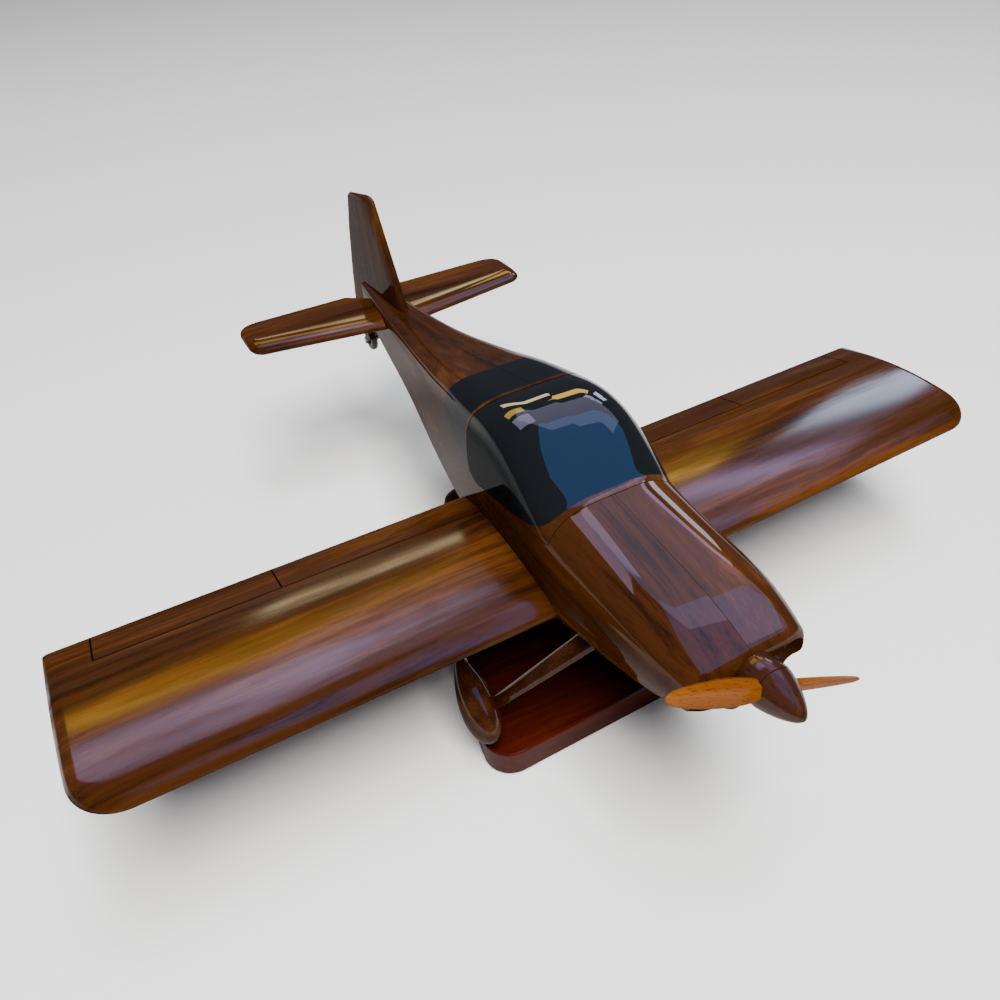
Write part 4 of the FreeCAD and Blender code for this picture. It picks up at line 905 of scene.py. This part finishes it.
# ---------------------------------------------------------------- assembly
def assemble():
    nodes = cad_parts
    body_wood = painted("varnished body", MAHOGANY, "Y", coat_roughness=0.03, side_coat=0.18)
    canopy_wood = painted("canopy lacquer", MAHOGANY, "Y", coat_roughness=0.012, coat=0.9, side_coat=0.07,
                          shift=(0.2, 0.1, 0))
    wing_wood = [varnished(f"varnished wing {word}", MAHOGANY, "X", coat_roughness=0.15, streaks=0.75,
                           coat=0.8, side_coat=0.2, shift=shift)
                 for word, shift in (("left", (0, 0, 0)), ("right", (0.3, 0.11, 0)))]
    tail_wood = varnished("varnished tail", MAHOGANY, "X", coat_roughness=0.09, streaks=0.6,
                          shift=(0.5, 0, 0))
    fin_wood = varnished("varnished fin", MAHOGANY, "Z", coat_roughness=0.06, side_coat=0.12,
                         shift=(0, 0, 0.4))
    # Trim and leg wood use the darker mahogany as painted shade on parts under the wings and body.
    shaded_trim_wood = varnished("varnished trim with painted shade", SHADED_TRIM_WOOD, "Y", coat_roughness=0.04, side_coat=0.2,
                          shift=(0.1, 0.4, 0))
    shaded_leg_wood = varnished("varnished leg with painted shade", SHADED_TRIM_WOOD, "Z", coat_roughness=0.05, side_coat=0.3)
    base_wood = varnished("red base varnish", RED_BASE, "X", coat_roughness=0.015, pores=0.2)
    blade_wood = varnished("blade wood", BLADE_WOOD, "X", pores=0.7, pore_size=3300, stripe=0.3,
                           coat_roughness=0.16, roughness=0.4, coat=0.3, side_coat=0.1,
                           tilt=(0, math.radians(-BLADE_TURN), 0))
    spinner_wood = varnished("spinner wood", SPINNER_WOOD, "Y", pores=0.5, coat_roughness=0.14,
                             coat=0.5, side_coat=0.35)
    dowel_wood = varnished("sanded dowel", SANDED, "X", coat=0.0, roughness=0.6)
    # Near-black matte strips in the engraved wing lines are painted shade in the grooves.
    painted_groove_shade = plain_material("painted groove shade", (0.003, 0.0015, 0.001), 0.9, shine=0.0)
    rubber = plain_material("tyre rubber", (0.018, 0.018, 0.019), 0.55)
    brass = plain_material("brass", (0.72, 0.50, 0.20), 0.25, 1.0)
    steel = plain_material("bright steel", (0.60, 0.60, 0.60), 0.28, 1.0)
    felt = plain_material("green felt", (0.020, 0.045, 0.028), 0.95, speck=0.02, scale=3200, relief=0.0002)

    for piece in build_fuselage():
        keep(piece, "aeroplane", canopy_wood if piece.name == "canopy" else body_wood,
             "black_lacquer" if piece.name == "canopy" else "mahogany")
    keep(build_scoop(), "aeroplane", shaded_trim_wood, "mahogany")
    for (wing, groove_shade), wood in zip(build_wings(), wing_wood):
        keep(wing, "aeroplane", wood, "mahogany")
        keep(groove_shade, "aeroplane", painted_groove_shade, "mahogany")
    for piece in build_tail():
        keep(piece, "aeroplane", fin_wood if piece.name.startswith("fin") else tail_wood, "mahogany")
    for word, spat, leg, tyre, hub in build_main_gear():
        keep(spat, "aeroplane", shaded_trim_wood, "mahogany")
        keep(leg, "aeroplane", shaded_leg_wood, "mahogany")
        keep(tyre, f"{word}_main_wheel", rubber, "rubber")
        keep(hub, f"{word}_main_wheel", dowel_wood, "rubber")
    low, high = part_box("tail_wheel")
    centre = (0, (low.y + high.y) / 2 / MM - LEADING_EDGE, (low.z + high.z) / 2 / MM - LEVEL_ZERO)
    radius, width = (high.z - low.z) / 2 / MM, (high.x - low.x) / MM
    tyre, hub = wheel("tail_wheel", centre, radius, width, 0.75, "tail_wheel")
    keep(tyre, "tail_wheel", rubber, "rubber")
    keep(hub, "tail_wheel", shaded_trim_wood, "rubber")
    cone, collar, blades = build_propeller()
    keep(cone, "propeller", spinner_wood, "mahogany")
    keep(collar, "propeller", spinner_wood, "mahogany")
    for blade in blades:
        keep(blade, "propeller", blade_wood, "mahogany_light")
    bpy.data.objects.remove(fitting_form)

    finishes = {
        base_wood: ("stand_base", "stand_post"),
        felt: ("base_felt",),
        shaded_trim_wood: ("tailwheel_fork",),
        brass: ("stand_peg", "belly_ferrule", "nose_washer"),
        dowel_wood: ("wing_dowels", "tailplane_dowel", "fin_dowels"),
        steel: ("post_screw", "propeller_pin", "left_axle_pin", "right_axle_pin", "tailwheel_axle_pin")}
    for material, names in finishes.items():
        for name in names:
            coat_piece(nodes[name], material)


def keep(piece, body, material, slot):
    coat_piece(piece, material)
    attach(piece, body)


# ---------------------------------------------------------------- floor, light and camera
VIEW_AZIMUTH, VIEW_ELEVATION, VIEW_ROLL = (math.radians(a) for a in (-28.775, 39.057, -2.690))
VIEW_DISTANCE, VIEW_STATION = 368.3, 62.8
FLOOR_SIZE = 8    # metres
VIEW_ACROSS, VIEW_SHIFT = 1.1218, (-0.03753, -0.00733)   # width of the view at 1 m, and its offset


def studio():
    floor_material, _, shader = new_material("pale floor")
    shader.inputs["Base Color"].default_value = (0.86, 0.86, 0.86, 1)
    shader.inputs["Roughness"].default_value = 0.8
    shader.inputs["Specular IOR Level"].default_value = 0.1
    bpy.ops.mesh.primitive_plane_add(size=FLOOR_SIZE)
    floor = bpy.context.object
    floor.name = "floor"
    floor.data.materials.append(floor_material)

    world = bpy.data.worlds.new("studio")
    world.use_nodes = True
    background = world.node_tree.nodes["Background"]
    background.inputs["Color"].default_value = (0.68, 0.75, 0.92, 1)
    background.inputs["Strength"].default_value = 0.16
    bpy.context.scene.world = world

    def panel(name, azimuth, elevation, distance, size, power, colour):
        """A soft area light that faces the model; azimuth 0 is behind it, as the camera sees it."""
        light = bpy.data.lights.new(name, "AREA")
        light.shape, light.size, light.size_y = "RECTANGLE", *size
        light.energy, light.color = power, colour
        lamp = bpy.data.objects.new(name, light)
        turn, rise = math.radians(azimuth) - VIEW_AZIMUTH, math.radians(elevation)
        place = Vector((math.sin(turn) * math.cos(rise), math.cos(turn) * math.cos(rise), math.sin(rise)))
        lamp.location = place * distance + Vector((0, 0, 0.06))
        lamp.rotation_euler = place.to_track_quat("Z", "Y").to_euler()
        bpy.context.collection.objects.link(lamp)
        return lamp

    for lamp in (panel("key", 165, 62, 1.9, (0.9, 0.9), 78, (1.0, 0.97, 0.93)),
                 panel("top", 100, 84, 2.1, (0.7, 0.7), 34, (0.95, 0.97, 1.0))):
        lamp.visible_glossy = False
    for lamp in (panel("gold", -27, 41, 2.4, (1.2, 0.34), 10, (1.0, 0.55, 0.05)),
                 panel("low gold", -14, 28, 2.4, (1.0, 0.18), 5.5, (1.0, 0.80, 0.45)),
                 panel("lavender", -28, 58, 2.4, (1.25, 0.62), 11, (0.64, 0.58, 1.0)),
                 panel("right cloud", 27, 29, 2.4, (0.46, 0.40), 6, (0.62, 0.74, 1.0)),
                 panel("right gold", 8, 34, 2.4, (0.50, 0.30), 5.2, (1.0, 0.60, 0.10)),
                 panel("right lavender", 25, 43, 2.4, (0.7, 0.18), 3, (0.66, 0.54, 1.0)),
                 panel("haze", 21, 57, 2.4, (2.8, 1.05), 19, (0.66, 0.66, 1.0)),
                 panel("deep sky", 98, 66, 2.4, (2.4, 2.0), 34, (0.07, 0.33, 1.0))):
        lamp.visible_diffuse = False


def camera():
    lens = bpy.data.cameras.new("camera")
    lens.sensor_width = 36
    lens.lens = lens.sensor_width / VIEW_ACROSS
    lens.shift_x, lens.shift_y = VIEW_SHIFT
    lens.clip_start = 0.01
    cosine, sine = math.cos(VIEW_ELEVATION), math.sin(VIEW_ELEVATION)
    back = Vector((cosine * math.sin(VIEW_AZIMUTH), -cosine * math.cos(VIEW_AZIMUTH), sine))
    level_right = Vector((math.cos(VIEW_AZIMUTH), math.sin(VIEW_AZIMUTH), 0))
    right = Matrix.Rotation(VIEW_ROLL, 3, back) @ level_right
    up = back.cross(right)
    target = Vector(row(0, VIEW_STATION, 0))
    camera_object = bpy.data.objects.new("camera", lens)
    camera_object.matrix_world = Matrix.Translation(target + back * VIEW_DISTANCE * MM) @ Matrix(
        (right, up, back)).transposed().to_4x4()
    bpy.context.collection.objects.link(camera_object)
    bpy.context.scene.camera = camera_object


assemble()
studio()
camera()
